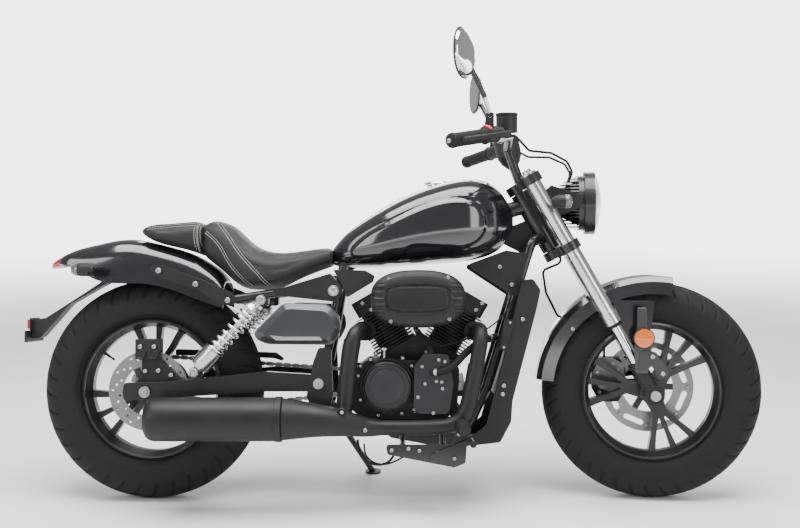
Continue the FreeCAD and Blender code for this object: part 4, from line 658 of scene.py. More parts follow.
def depthInside(spots, outline):
    # distance to a closed line, above zero inside it
    gap = np.linalg.norm(spots[:, None] - outline[None], axis=2).min(axis=1)
    start, end = outline, np.roll(outline, -1, axis=0)
    above = (start[None, :, 1] > spots[:, None, 1]) != (end[None, :, 1] > spots[:, None, 1])
    rise = np.where(end[:, 1] == start[:, 1], 1e-9, end[:, 1] - start[:, 1])
    crossing = (end[:, 0] - start[:, 0]) * (spots[:, None, 1] - start[:, 1]) / rise + start[:, 0]
    inside = (above & (spots[:, None, 0] < crossing)).sum(axis=1) % 2 == 1
    return np.where(inside, gap, -gap)


# Bolts: a socket screw, a hexagon head, a caliper's cap and a rivet, drawn once and set where they belong

rightward, leftward, forward, upward = (0, -1, 0), (0, 1, 0), (1, 0, 0), (0, 0, 1)
socketScrew = turnedBody([(0, 0.45), (0.5, 0.45), (0.55, 0.95), (0.86, 1.0), (1.0, 0.86), (1.0, -0.3),
                          (0, -0.3)], segments=12)
hexScrew = turnedBody([(0, 0.8), (0.78, 0.8), (0.95, 0.7), (0.95, 0.12), (1.25, 0.1), (1.25, -0.3), (0, -0.3)],
                      segments=12, ripple=lambda profile, turn: np.where(profile[:, :1] < 1.0,
                                                                         1 - 0.08 * np.cos(6 * turn) ** 2, 1.0))
pistonCap = turnedBody([(0, 0.22), (0.6, 0.2), (0.66, 0.32), (0.92, 0.3), (1.0, 0.2), (1.0, -0.15), (0, -0.15)],
                       segments=32)
rivetHead = turnedBody([(0, 0.5), (0.5, 0.5), (0.85, 0.35), (1.0, 0.1), (1.0, -0.3), (0, -0.3)], segments=16)


def addScrews(name, spots, outward, radius, body="frame", finish="zinc", kind=None):
    return addPiece(name, copiesAt(kind or socketScrew, spots, outward, radius), finish, body, 35.0)


# Fuel tank: superellipse sections with a raised teardrop on each side

tank = {
    "stations": ((505, 38, 656, 704), (535, 70, 650, 738), (577, 94, 648, 773), (640, 118, 650, 815),
                 (720, 134, 656, 856), (800, 142, 662, 884), (880, 140, 668, 899), (940, 112, 682, 890),
                 (985, 70, 712, 853), (1010, 38, 748, 812)),
    "fullness": 2.7,
    "teardrop": ((556, 690), (582, 724), (650, 764), (742, 808), (853, 832), (908, 814), (930, 775), (922, 735),
                 (888, 707), (845, 697), (760, 703), (724, 700), (690, 660), (600, 640)),
    "raise": 5.5,
    "softness": 9.0,
    "grooveDepth": 1.6,
    "grooveWidth": 5.0,
    "flanks": (60, 90),
    "fadeBelow": (655.0, 706.0),
    "fadeUntil": 735.0,
    "filler": ((0, 0), (37, 0), (38.5, 2), (37, 5), (33, 6), (31.5, 4), (0, 4)),
    "fillerAt": (800, 0, 885),
    "seamRun": (520, 985),
    "seamShare": 0.84,
    "seamUp": 9,
    "seamRadius": 2.2,
}


def raisedTeardrop(points):
    # lifts the side by an eased height inside the outline, fading out towards its low rear corner
    flat = points.reshape(-1, 3)
    line = closedOutline(tank["teardrop"], 260)
    inside = depthInside(flat[:, [0, 2]], line)
    rise = tank["raise"] * softStep(inside, -tank["softness"] * 0.4, tank["softness"])
    groove = -tank["grooveDepth"] * np.exp(-(inside / tank["grooveWidth"]) ** 2)
    low = softStep(flat[:, 2], *tank["fadeBelow"])
    ahead = softStep(flat[:, 0], tank["fadeUntil"] - 40, tank["fadeUntil"] + 30)
    share = np.maximum(low, ahead)
    side = softStep(np.abs(flat[:, 1]), *tank["flanks"])
    moved = flat.copy()
    moved[:, 1] += np.sign(flat[:, 1]) * (rise + groove) * share * side
    return moved.reshape(points.shape)


def buildTank():
    shape = loftBody(tank["stations"], tank["fullness"], 190, 150, 0.1, raisedTeardrop)
    shell = addPiece("tank_shell", shape, "lacquerBlack", sharp=60)
    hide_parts("fuel_tank")
    addPiece("filler_ring", turnedBody(tank["filler"], tank["fillerAt"], segments=64), "chrome")
    table = np.array(tank["stations"])
    x = np.linspace(*tank["seamRun"], 60)
    half, bottom, _ = smoothTable(table[:, 0], table[:, 1:], x).T
    seam = [tubeBody(np.stack([x, way * half * tank["seamShare"], bottom + tank["seamUp"]], axis=1),
                     tank["seamRadius"], 8) for way in (-1, 1)]
    addPiece("tank_seam", seam, "lacquerBlack")


print("tank")
buildTank()

# Tyres: a round crown on bulging walls, with grooves cut where the tread pattern says

tyres = {
    "front_tyre": {"body": "front_wheel", "radius": 304.0, "width": 110.0, "bead": 196.0, "pitchCount": 40,
                   "grooveDepth": 3.6, "lean": 0.62},
    "rear_tyre": {"body": "rear_wheel", "radius": 307.5, "width": 130.0, "bead": 198.0, "pitchCount": 36,
                  "grooveDepth": 4.2, "lean": -0.62},
}


# Places across the tread are shares of the half width, and a slant's width is a share of the pitch. The rings
# on the wall have a height, a place and a width in millimetres, but wallRing's place is a share again.

tread = {
    "around": 900,
    "crown": (0.98, 0.8),
    "sweep": 1.6,
    "slantWidth": (0.40, 0.45),
    "slantStart": (0.22, 0.3),
    "slantEnd": (0.93, 0.99),
    "wave": 0.045,
    "sideRing": (0.17, 0.035),
    "middleRing": (0.4, 0.022, 0.6),
    "beadRing": (0.9, 12, 2.2),
    "wallRing": (0.6, 1.12, 1.6),
}


def tyreSection(plan):
    # half circle for the crown, then walls that bulge out and pull in to the bead
    crown = plan["width"] / 2
    arc = np.linspace(0, np.pi / 2, 30)
    crownLine = np.stack([crown * np.sin(arc), plan["radius"] - crown + crown * np.cos(arc)], axis=1)
    wall = smoothPath([(crown, plan["radius"] - crown), (crown * 0.985, plan["radius"] - crown * 1.4),
                       (crown * 0.72, plan["bead"])], 16)[1:]
    half = np.concatenate([crownLine, wall])
    inner = np.array([(crown * 0.6, plan["bead"] - 1.0)])
    right = np.concatenate([half, inner])
    left = right[::-1][:-1].copy()
    left[:, 0] *= -1
    return np.concatenate([left, right])


def buildTyre(node, plan):
    section = tyreSection(plan)
    crown = plan["width"] / 2
    turn = fullTurn(tread["around"])
    across = section[:, :1] / crown
    onCrown = softStep(section[:, 1:], *(plan["radius"] - crown * share for share in tread["crown"]))
    swept = plan["lean"] * np.abs(across) * tread["sweep"]
    phase = (turn[None] * plan["pitchCount"] / (2 * np.pi) + swept) % 1.0
    slant = softStep(0.5 - np.abs(phase - 0.5), *tread["slantWidth"])
    slant = slant * softStep(np.abs(across), *tread["slantStart"])
    slant = slant * (1 - softStep(np.abs(across), *tread["slantEnd"]))
    wave = tread["wave"] * np.sin(turn[None] * plan["pitchCount"])
    place, width = tread["sideRing"]
    ring = np.exp(-((np.abs(across) - place - wave) / width) ** 2)
    share, width, deep = tread["middleRing"]
    ring = ring + np.exp(-((across - wave * share) / width) ** 2) * deep
    groove = plan["grooveDepth"] * np.clip(slant + ring, 0, 1) * onCrown
    high, place, width = tread["beadRing"]
    wallRings = high * np.exp(-((section[:, 1:] - (plan["bead"] + place)) / width) ** 2)
    high, place, width = tread["wallRing"]
    wallRings += high * np.exp(-((section[:, 1:] - (plan["radius"] - crown * place)) / width) ** 2)
    out = section - np.array([0, plan["radius"] - crown])
    out = out / np.linalg.norm(out, axis=1)[:, None]
    shift = wallRings - groove
    y = section[:, :1] + out[:, :1] * shift
    radius = section[:, 1:] + out[:, 1:] * shift
    points = np.stack([radius * np.cos(turn)[None], y, radius * np.sin(turn)[None]], axis=-1)
    faces = gridFaces(len(section), tread["around"], wrapRows=True, wrapColumns=True)
    piece = addPiece(node + "_tread", (points, faces), "tyreRubber", plan["body"], 50)
    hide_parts(node)


print("tyres")
for node, plan in tyres.items():
    buildTyre(node, plan)

# Air cleaner: ovals from the middle of the lid out to its edge, then back along the wall to the engine

airCleaner = {
    "centre": (742.0, 561.0),
    "rings": ((0, 0, -191.0, 4.5), (66, 20, -191.0, 4.5), (77, 28, -191.0, 4.2), (80, 31, -190.0, 4.2),
              (82, 33, -186.5, 4.2), (86, 37, -186.0, 4.0), (88.5, 39.5, -189.5, 3.8), (94, 45, -190.0, 3.5),
              (101, 52, -188.5, 3.1), (109, 60, -186.0, 2.8), (118, 68, -181.5, 2.6), (125, 74.5, -174.0, 2.5),
              (128, 77.5, -164.0, 2.5), (128, 77.5, -152.0, 2.5), (122, 72, -151.0, 2.5),
              (122, 72, -146.0, 2.5), (127, 76.5, -145.0, 2.5), (127, 76.5, -118.0, 2.5),
              (120, 70, -106.0, 2.5), (112, 64, -90.0, 2.5), (100, 56, -79.0, 2.5), (0, 0, -78.3, 2.5)),
    "ribPitch": 17.0,
    "ribHeight": 5.0,
    "ribsBeyond": (86.0, 95.0),
    "ribsWithin": (36, 44),
    "ribsFrom": (160, 168),
    "ribFlanks": (-0.3, 0.5),
    "ribSunk": 0.75,
    "columns": 240,
    "deepest": -191.0,
    "neck": ((748, -80, 545), (748, -60, 545), (748, -44, 545)),
    "neckRadius": 24,
    "clamp": ((24, -5), (26, -5), (26, 5), (24, 5), (24, -5)),
    "well": ((0, 0), (6.5, 0), (9, -3.5), (9.5, -6), (0, -6)),
    "wellFace": -180,
    "screws": ((664, 612), (822, 618), (669, 501), (825, 507)),
}


def buildAirCleaner():
    # half width, half height, depth and squareness of each ring, filled in by straight steps
    rings = np.array(airCleaner["rings"], float)
    fine = np.concatenate([np.linspace(a, b, 5)[:-1] for a, b in zip(rings, rings[1:])] + [rings[-1:]])
    turn = fullTurn(airCleaner["columns"])
    x = fine[:, :1] * signedPower(np.cos(turn), 2 / fine[:, 3:])
    z = fine[:, 1:2] * signedPower(np.sin(turn), 2 / fine[:, 3:])
    ends = softStep(np.abs(x), *airCleaner["ribsBeyond"])
    band = 1 - softStep(np.abs(z), *airCleaner["ribsWithin"])
    front = softStep(-fine[:, 2:3], *airCleaner["ribsFrom"])
    rib = softStep(np.cos(2 * np.pi * z / airCleaner["ribPitch"]), *airCleaner["ribFlanks"])
    y = fine[:, 2:3] - airCleaner["ribHeight"] * ends * band * front * (rib - airCleaner["ribSunk"])
    y = np.maximum(y, airCleaner["deepest"])
    centre = airCleaner["centre"]
    points = np.stack([centre[0] + x, y, centre[1] + z], axis=-1).reshape(-1, 3)
    faces = gridFaces(len(fine), airCleaner["columns"], wrapColumns=True)
    lid = addPiece("air_cleaner_lid", (points, faces), "engineBlack", sharp=30)
    neck = tubeBody(airCleaner["neck"], airCleaner["neckRadius"], 32)
    clamp = turnedBody(airCleaner["clamp"], airCleaner["neck"][1], leftward, 40)
    throat = addPiece("air_cleaner_neck", [neck, clamp], "softRubber")
    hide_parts("air_cleaner")
    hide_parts("air_cleaner")
    spots = [(x, airCleaner["wellFace"], z) for x, z in airCleaner["screws"]]
    addPiece("air_cleaner_wells", [turnedBody(airCleaner["well"], spot, rightward, 24) for spot in spots],
             "engineBlack")
    addScrews("air_cleaner_screws", spots, rightward, 5.0, finish="steel")


# Engine covers and the screws that hold them

engineCovers = {
    "clutchAt": (658, -105, 324),
    "rim": ((0, -2), (60, -2), (66, -2), (67.5, 2), (67.5, 16), (65.5, 21), (61.5, 23.2), (59.5, 22.5),
            (58.5, 19), (57.5, 19), (0, 19)),
    "dome": ((0, 40.5), (20, 40.3), (34, 39.2), (43, 37), (46, 35.2), (47.5, 32), (49, 30.5), (54, 28.5),
             (57, 24), (57.3, 18), (0, 17)),
    "flangeAt": (658, -104, 324),
    "flange": ((60, 0), (74, 0), (75, 2), (75, 6), (73, 8), (60, 8), (60, 0)),
    "boss": ((0, -3), (7.5, -3), (7, 6), (6, 7), (0, 7)),
    "bossFace": -104,
    "screwFace": -111,
    "screws": ((613, 395), (627, 411), (700, 399), (725, 378), (764, 416), (752, 379), (797, 396), (813, 393),
               (791, 339), (761, 334), (742, 298), (783, 257), (732, 259), (698, 249), (634, 244), (585, 285),
               (579, 351), (585, 377)),
    "leftFace": 119.5,
    "leftScrews": ((560, 290), (560, 356), (600, 372), (644, 340), (644, 300), (600, 272)),
    "screwRadius": 4.2,
    "generatorAt": (735, 105, 315),
    "generator": ((0, 31), (30, 31), (44, 33.5), (50, 33.5), (52, 31), (58, 31), (60.5, 28), (62, 24.5),
                  (0, 24)),
}


def lobes(profile, turn):
    # ears round the flange, outside the cover's rim
    return np.where(profile[:, :1] > 61, 1 + 0.035 * np.cos(9 * turn) ** 8, 1.0)


def buildEngineCovers():
    plan = engineCovers
    addPiece("clutch_cover_rim", turnedBody(plan["rim"], plan["clutchAt"], rightward, 120), "coverSteel",
             sharp=25)
    addPiece("clutch_cover_dome", turnedBody(plan["dome"], plan["clutchAt"], rightward, 120), "engineBlack",
             sharp=25)
    bosses = [turnedBody(plan["boss"], (x, plan["bossFace"], z), rightward, 20) for x, z in plan["screws"]]
    flange = turnedBody(plan["flange"], plan["flangeAt"], rightward, 96, lobes)
    addPiece("engine_case_bosses", bosses + [flange], "engineBlack", sharp=30)
    addScrews("engine_case_screws", [(x, plan["screwFace"], z) for x, z in plan["screws"]], rightward,
              plan["screwRadius"])
    addScrews("left_case_screws", [(x, plan["leftFace"], z) for x, z in plan["leftScrews"]], leftward,
              plan["screwRadius"])
    addPiece("generator_cover_dome", turnedBody(plan["generator"], plan["generatorAt"], leftward, 120),
             "coverSteel", sharp=25)


# Water pump on the right case with its hoses, and small lines and cables of the engine bay

plumbing = {
    "pumpBody": ((0, 0), (24, 0), (26, 3), (26, 10), (20, 16), (16, 18), (12, 30), (0, 31)),
    "pumpCentre": (777, -104, 366),
    "hoses": ((10.0, ((777, -132, 362), (800, -142, 364), (829, -142, 374), (850, -134, 392), (880, -116, 420),
                      (930, -80, 448), (958, -60, 455))),
              (7.5, ((777, -118, 372), (779, -128, 398), (774, -126, 430), (758, -110, 452), (735, -84, 480)))),
    "cables": ((2.2, ((640, -112, 424), (700, -112, 432), (782, -112, 430), (862, -108, 446), (922, -104, 473),
                      (974, -98, 513), (1008, -86, 566))),
               (2.6, ((596, -120, 168), (600, -124, 140), (622, -124, 118), (650, -120, 112), (684, -118, 122),
                      (706, -118, 134))),
               (3.4, ((578, -112, 178), (584, -122, 148), (604, -126, 122), (632, -124, 112), (664, -118, 120),
                      (680, -112, 146)))),
    "clip": ((-1, -4), (1.2, -4), (1.2, 4), (-1, 4), (-1, -4)),
    "clipSpots": (4, 54),
    "mount": ((827, 344), (848, 352), (865, 360), (873, 312), (831, 306)),
    "mountFaces": (-98, -92),
    "mountScrew": (851, -98, 334),
}


def sharpOutline(corners, radius=5.0, steps=5):
    # straight sides with a small arc at each corner
    corners = np.asarray(corners, float)
    line = []
    for before, here, after in zip(np.roll(corners, 1, axis=0), corners, np.roll(corners, -1, axis=0)):
        back, ahead = before - here, after - here
        cut = min(radius, np.linalg.norm(back) * 0.4, np.linalg.norm(ahead) * 0.4)
        start, end = here + back / np.linalg.norm(back) * cut, here + ahead / np.linalg.norm(ahead) * cut
        share = np.linspace(0, 1, steps)[:, None]
        line.append((1 - share) ** 2 * start + 2 * share * (1 - share) * here + share ** 2 * end)
    return np.concatenate(line)


def platePiece(corners, low, high, bevel=1.2, radius=5.0):
    # an outline carried from one side to the other, its rims pulled in by the bevel
    line = sharpOutline(corners, radius)
    centre = line.mean(axis=0)
    reach = np.linalg.norm(line - centre, axis=1)[:, None]
    pulled = centre + (line - centre) * (1 - bevel / reach)
    middle = np.broadcast_to(centre, line.shape)
    rows = [np.insert(outline, 1, float(y), axis=1)
            for outline, y in ((middle, low), (pulled, low), (line, low + bevel), (line, high - bevel),
                               (pulled, high), (middle, high))]
    return np.concatenate(rows), gridFaces(len(rows), len(line), wrapColumns=True)


def buildPlumbing():
    pump = turnedBody(plumbing["pumpBody"], plumbing["pumpCentre"], rightward, 40)
    addPiece("water_pump", pump, "castAlloy", sharp=30)
    hoses = [tubeBody(smoothPath(path, 60), radius, 20) for radius, path in plumbing["hoses"]]
    addPiece("coolant_hoses", hoses, "softRubber")
    clips = []
    for radius, path in plumbing["hoses"]:
        line = smoothPath(path, 60)
        for at in plumbing["clipSpots"]:
            clips.append(turnedBody(np.array(plumbing["clip"]) + (radius, 0), line[at],
                                    line[at + 1] - line[at], 32))
    addPiece("hose_clips", clips, "steel")
    cables = [tubeBody(smoothPath(path, 70), radius, 10) for radius, path in plumbing["cables"]]
    addPiece("engine_bay_lines", cables, "softRubber")
    mount = platePiece(plumbing["mount"], *plumbing["mountFaces"], 1.0, 6)
    addPiece("engine_mount_plate", mount, "zinc", sharp=30)
    addScrews("engine_mount_screws", [plumbing["mountScrew"]], rightward, 7, kind=hexScrew)


# Exhaust: two headers, a collector that swells to the can, and heat shields over both

exhaust = {
    "front": {"path": ((900, -52, 470), (906, -96, 472), (912, -134, 462), (908, -146, 430), (897, -146, 370),
                       (884, -146, 305), (868, -146, 254), (840, -147, 226), (800, -148, 217), (720, -150, 215),
                       (640, -151, 215), (600, -153, 216)), "radius": 20.5},
    "rear": {"path": ((594, -52, 470), (588, -96, 474), (572, -134, 464), (562, -146, 432), (556, -148, 390),
                      (550, -150, 330), (546, -154, 280), (540, -160, 236)), "radius": 21.5},
    "collector": {"path": ((640, -151, 215), (600, -156, 218), (560, -168, 226), (520, -180, 233),
                           (480, -187, 238), (430, -190, 241), (384, -190, 242)),
                  "radius": (21.5, 27, 37, 46, 51, 54, 55)},
    "can": ((0, 8), (30, 8), (33, 6), (33, 1), (36, 0), (42, 2), (50, 7), (55.5, 15), (58, 26), (58, 60),
            (58, 180), (58, 340), (57.2, 356), (54, 362), (0, 362)),
    "canStart": (17.3, -190, 242),
    "outletAt": (20.5, -190, 242),
    "outlet": ((24, -0.6), (26, -0.8), (26, 12), (24, 12), (24, -0.6)),
    "bandAt": (372, -190, 242),
    "band": ((55, -9), (59.4, -9), (60, -8), (60, 8), (59.4, 9), (55, 9), (55, -9)),
    "flange": ((-2, -5), (12, -5), (13, -4), (13, 4), (12, 5), (-2, 5), (-2, -5)),
    "shields": {"front": (34, 64), "rear": (40, 104)},
    "shieldGap": 2.4,
    "shieldScrews": ((540, -206, 262), (602, -170, 213)),
    "well": ((0, -6), (11, -6), (12, -1), (9, 2.2), (7.5, 0.5), (0, 0.5)),
}


def flangedTube(path, radius):
    line = smoothPath(path, 120)
    flange = turnedBody(np.array(exhaust["flange"]) + (radius, 0), line[4], line[6] - line[4], 48,
                        lambda profile, turn: np.where(profile[:, :1] > radius,
                                                       1 - 0.22 * np.sin(turn) ** 2, 1.0))
    return [tubeBody(line, radius, 32), flange]


def buildExhaust():
    bodies = []
    for key in ("front", "rear"):
        bodies += flangedTube(exhaust[key]["path"], exhaust[key]["radius"])
    line = smoothPath(exhaust["collector"]["path"], 70)
    swell = smoothPath(np.stack([np.arange(7), exhaust["collector"]["radius"]], axis=1), 70)[:, 1]
    bodies.append(tubeBody(line, swell, 56))
    pipes = addPiece("exhaust_run", bodies, "heatBlack")
    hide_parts("exhaust_pipes")
    can = turnedBody(exhaust["can"], exhaust["canStart"], forward, 112)
    silencer = addPiece("silencer_can", can, "heatBlack", sharp=32)
    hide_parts("muffler")
    addPiece("silencer_outlet", turnedBody(exhaust["outlet"], exhaust["outletAt"], forward, 64), "steel")
    shield = [tubeBody(smoothPath(exhaust[key]["path"], 120)[start:end],
                       exhaust[key]["radius"] + exhaust["shieldGap"], 32)
              for key, (start, end) in exhaust["shields"].items()]
    addPiece("header_shields", shield, "heatBlack")
    wells = [turnedBody(exhaust["well"], spot, rightward, 32) for spot in exhaust["shieldScrews"]]
    addPiece("shield_seats", wells, "heatBlack", sharp=30)
    addScrews("shield_screws", exhaust["shieldScrews"], rightward, 5.0)
    addPiece("silencer_band", turnedBody(exhaust["band"], exhaust["bandAt"], forward, 96), "heatBlack",
             sharp=30)


# Side covers: an eight sided dome, flat in the middle, with a plain silver strip

sideCover = {
    "edge": ((296, 470), (304, 450), (332, 438), (512, 436), (534, 478), (530, 512), (500, 546), (376, 550)),
    "face": ((322, 470), (326, 462), (342, 454), (498, 454), (518, 482), (513, 504), (490, 528), (388, 534)),
    "outer": 147.0,
    "inner": 126.4,
    "crown": 1.2,
    "lip": 7,
    "stripFaces": (-2.2, 0.1),
    "strip": ((340, 464), (358, 449), (484, 449), (476, 459), (350, 459)),
}


def buildSideCovers():
    edge, face = sharpOutline(sideCover["edge"], 16, 7), sharpOutline(sideCover["face"], 12, 7)
    centre = face.mean(axis=0)
    outer, inner, crown = sideCover["outer"], sideCover["inner"], sideCover["crown"]
    rows = []
    for share in np.linspace(0, 1, 5):
        line = centre + (face - centre) * share
        rows.append(np.insert(line, 1, outer - crown * share ** 2, axis=1))
    for share in np.linspace(0, 1, 9)[1:]:
        line = face + (edge - face) * share
        depth = outer - crown - (outer - inner - sideCover["lip"]) * softStep(share, -0.2, 1.15)
        rows.append(np.insert(line, 1, depth, axis=1))
    rows.append(np.insert(edge, 1, inner + 1.0, axis=1))
    rows.append(np.insert(centre + (edge - centre) * 0.97, 1, inner, axis=1))
    rows.append(np.insert(np.broadcast_to(centre, edge.shape), 1, inner, axis=1))
    points = np.stack(rows)
    faces = gridFaces(len(rows), len(edge), wrapColumns=True)
    both = []
    for way in (-1, 1):
        side = points.copy()
        side[..., 1] *= way
        both.append((side.reshape(-1, 3), faces if way > 0 else faces[:, ::-1]))
    shell = addPiece("side_cover_shells", both, "coverGrey", sharp=28)
    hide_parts("side_covers")
    strips = [platePiece(sideCover["strip"], *(way * (outer + y) for y in sideCover["stripFaces"]), 0.4, 2)
              for way in (-1, 1)]
    addPiece("side_cover_strips", strips, "trimSilver", sharp=30)


# Rear shocks: open springs over the damper, with collars and caps

shocks = {
    "top": (317.0, 140.0, 558.0),
    "bottom": (136.0, 140.0, 363.0),
    "coilRadius": 21.6,
    "wireRadius": 4.1,
    "start": 41.0,
    "end": 199.0,
    "turns": 8.5,
    "cup": ((26.4, 184), (28.6, 184), (28.9, 188), (28.4, 190), (28.4, 238), (25, 246), (14, 247), (14, 244),
            (24, 243.5), (26.4, 237), (26.4, 184)),
    "damper": ((0, 40), (8, 40), (8, 118), (13, 120), (14, 124), (14, 203), (0, 203)),
    "ring": ((-4, -2.2), (0, -2.2), (0.6, -1.4), (0.6, 1.4), (0, 2.2), (-4, 2.2), (-4, -2.2)),
    "topRing": (37, 27.2),
    "lowRings": ((64, 27.4), (52, 26.9), (40, 27.4)),
    "eyeCap": ((0, 12), (7, 12), (7.5, 15), (11, 15.5), (12, 14), (12, 12), (0, 11.8)),
}


def buildShocks():
    springs, collars = [], []
    for way in (-1, 1):
        top = np.array(shocks["top"]) * (1, way, 1)
        bottom = np.array(shocks["bottom"]) * (1, way, 1)
        line = (bottom - top) / np.linalg.norm(bottom - top)
        side = np.array((0.0, 1.0, 0.0))
        other = np.cross(line, side)
        share = np.linspace(0, 1, 260)
        turn = share * shocks["turns"] * 2 * np.pi
        closing = 0.06 * np.sin(2 * np.pi * share)
        along = shocks["start"] + 4 + (shocks["end"] - shocks["start"] - 8) * (share - closing * 0.6)
        coil = (top + along[:, None] * line + shocks["coilRadius"] * (np.cos(turn)[:, None] * side
                                                                       + np.sin(turn)[:, None] * other))
        springs.append(tubeBody(coil, shocks["wireRadius"], 10))
        springs.append(turnedBody(shocks["damper"], top, line, 40))
        length = np.linalg.norm(bottom - top)
        collars.append(turnedBody(shocks["cup"], top, line, 60))
        for at, radius in (shocks["topRing"], *((length - up, wide) for up, wide in shocks["lowRings"])):
            collars.append(turnedBody(np.array(shocks["ring"]) + (radius, 0), top + line * at, line, 60,
                                      lambda profile, angle: 1 + 0.012 * np.cos(16 * angle)))
        collars += [turnedBody(shocks["eyeCap"], end, (0, way, 0), 24) for end in (top, bottom)]
    coils = addPiece("shock_coils", springs, "chrome")
    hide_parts("shock_springs")
    addPiece("shock_collars", collars, "satinAlloy", sharp=30)


print("engine, exhaust, covers and shocks")
buildAirCleaner()
buildEngineCovers()
buildPlumbing()
buildExhaust()
buildSideCovers()
buildShocks()

# Seats: padded skins blown up a little by cloth, with a channel over the fender, seams and rows of stitches

seats = {
    "rider": {"stations": ((148, 80, 676, 773), (165, 88, 662, 779), (200, 101, 634, 773),
                           (232, 113, 606, 752), (262, 124, 590, 722), (300, 131, 586, 698),
                           (350, 129, 591, 686), (400, 115, 614, 688), (455, 93, 637, 696),
                           (501, 69, 653, 702)),
              "fullness": 3.0, "node": "rider_seat", "fill": 0.85, "ends": 0.02},
    "pad": {"stations": ((-31, 55, 744, 755), (-18, 72, 734, 763), (20, 86, 716, 767), (87, 92, 700, 772),
                         (141, 89, 682, 777)),
            "fullness": 3.2, "node": "passenger_seat", "fill": 0.85, "ends": 0.05},
    "voxel": 0.005,
    "pressure": 4.0,
    "cap": 0.005,
    "frames": 20,
    "heldBelow": -0.45,
    "fender": ((-102, 94, 604, 726), (-44, 96, 604, 727), (10, 97, 600, 716), (60, 97, 588, 703),
               (118, 97, 566, 682), (160, 97, 550, 658), (190, 97, 540, 634), (208, 96, 534, 609),
               (235, 96, 470, 510)),
    "bend": 0.6,
    "clear": 3.0,
}
seams = {
    "rider": (((180, 781), (216, 738), (252, 688), (291, 645), (339, 592)),
              ((152, 748), (177, 728), (201, 700), (224, 661), (252, 627), (292, 588))),
    "pad": (((128, 776), (126, 740), (130, 706), (134, 684)), ((138, 779), (136, 740), (139, 706), (142, 684)),
            ((-14, 755), (40, 762), (90, 766), (124, 768))),
    "groove": 2.2,
    "grooveWidth": 3.2,
    "rowGap": 3.2,
    "stitch": 5.2,
    "pitch": 7.0,
    "thread": 0.75,
    "lift": 0.2,
    "longest": 13.0,
    "raysFrom": 260.0,
}


def overFender(points):
    # underside lifted clear of the fender's arch, whose section is a superellipse over its half width
    flat = points.reshape(-1, 3).copy()
    table = np.array(seats["fender"], float)
    half, low, top = (np.interp(flat[:, 0], table[:, 0], table[:, column]) for column in (1, 2, 3))
    half, top = half + seats["clear"], top + seats["clear"]
    share = np.clip(np.abs(flat[:, 1]) / half, 0, 1)
    cosine = share ** (1 / seats["bend"])
    arch = low + (top - low) * np.sqrt(1 - cosine ** 2) ** seats["bend"]
    over = (flat[:, 0] < table[-1, 0]) & (share < 1)
    flat[:, 2] = np.where(over, np.maximum(flat[:, 2], arch), flat[:, 2])
    return flat.reshape(points.shape)


def vertexRows(mesh, kind="co"):
    rows = np.empty(len(mesh.vertices) * 3, np.float32)
    mesh.vertices.foreach_get(kind, rows)
    return rows.reshape(-1, 3).astype(float)


def settled(piece):
    # the mesh as its modifiers leave it
    view = bpy.context.evaluated_depsgraph_get()
    return bpy.data.meshes.new_from_object(piece.evaluated_get(view))


def keepMesh(piece, mesh):
    finish = piece.data.materials[0]
    piece.modifiers.clear()
    piece.data = mesh
    mesh.materials.clear()
    mesh.materials.append(finish)
    mesh.polygons.foreach_set("use_smooth", np.ones(len(mesh.polygons), bool))


def blowUp(piece):
    # voxel skin, a few frames of cloth under pressure with its underside held, and a cap on how far it moves
    remesh = piece.modifiers.new("skin", "REMESH")
    remesh.mode = "VOXEL"
    remesh.voxel_size = seats["voxel"]
    keepMesh(piece, settled(piece))
    before = vertexRows(piece.data)
    held = np.nonzero(vertexRows(piece.data, "normal")[:, 2] < seats["heldBelow"])[0]
    group = piece.vertex_groups.new(name="held")
    group.add(held.tolist(), 1.0, "REPLACE")
    cloth = piece.modifiers.new("cushion", "CLOTH")
    cloth.settings.vertex_group_mass = "held"
    cloth.settings.use_pressure = True
    cloth.settings.uniform_pressure_force = seats["pressure"]
    cloth.settings.effector_weights.gravity = 0.0
    cloth.point_cache.frame_start = 1
    cloth.point_cache.frame_end = seats["frames"]
    for step in range(1, seats["frames"] + 1):
        bpy.context.scene.frame_set(step)
    blown = settled(piece)
    move = vertexRows(blown) - before
    reach = np.linalg.norm(move, axis=1)[:, None]
    kept = before + move * np.minimum(1.0, seats["cap"] / np.maximum(reach, 1e-9))
    blown.vertices.foreach_set("co", kept.astype(np.float32).ravel())
    keepMesh(piece, blown)
    piece.vertex_groups.clear()
    bpy.context.scene.frame_set(1)


def backToDrawing(spots):
    # leaned metres back to upright millimetres
    return ((spots - rearHub) * 1000.0) @ settleTurn + rearAxle


def pressSeams(piece, lines):
    # each seam presses a soft groove into both flanks
    smooth = piece.modifiers.new("finer", "SUBSURF")
    smooth.levels = smooth.render_levels = 1
    keepMesh(piece, settled(piece))
    drawing = backToDrawing(vertexRows(piece.data))
    depth = np.zeros(len(drawing))
    for line in lines:
        path = smoothPath(line, 160)
        gap = np.linalg.norm(drawing[:, None, [0, 2]] - path[None], axis=2).min(axis=1)
        depth = np.maximum(depth, np.exp(-(gap / seams["grooveWidth"]) ** 2))
    depth *= softStep(np.abs(drawing[:, 1]), 20, 45)
    push = vertexRows(piece.data, "normal") * depth[:, None] * seams["groove"] / 1000.0
    pushed = vertexRows(piece.data) - push
    piece.data.vertices.foreach_set("co", pushed.astype(np.float32).ravel())
    piece.data.update()


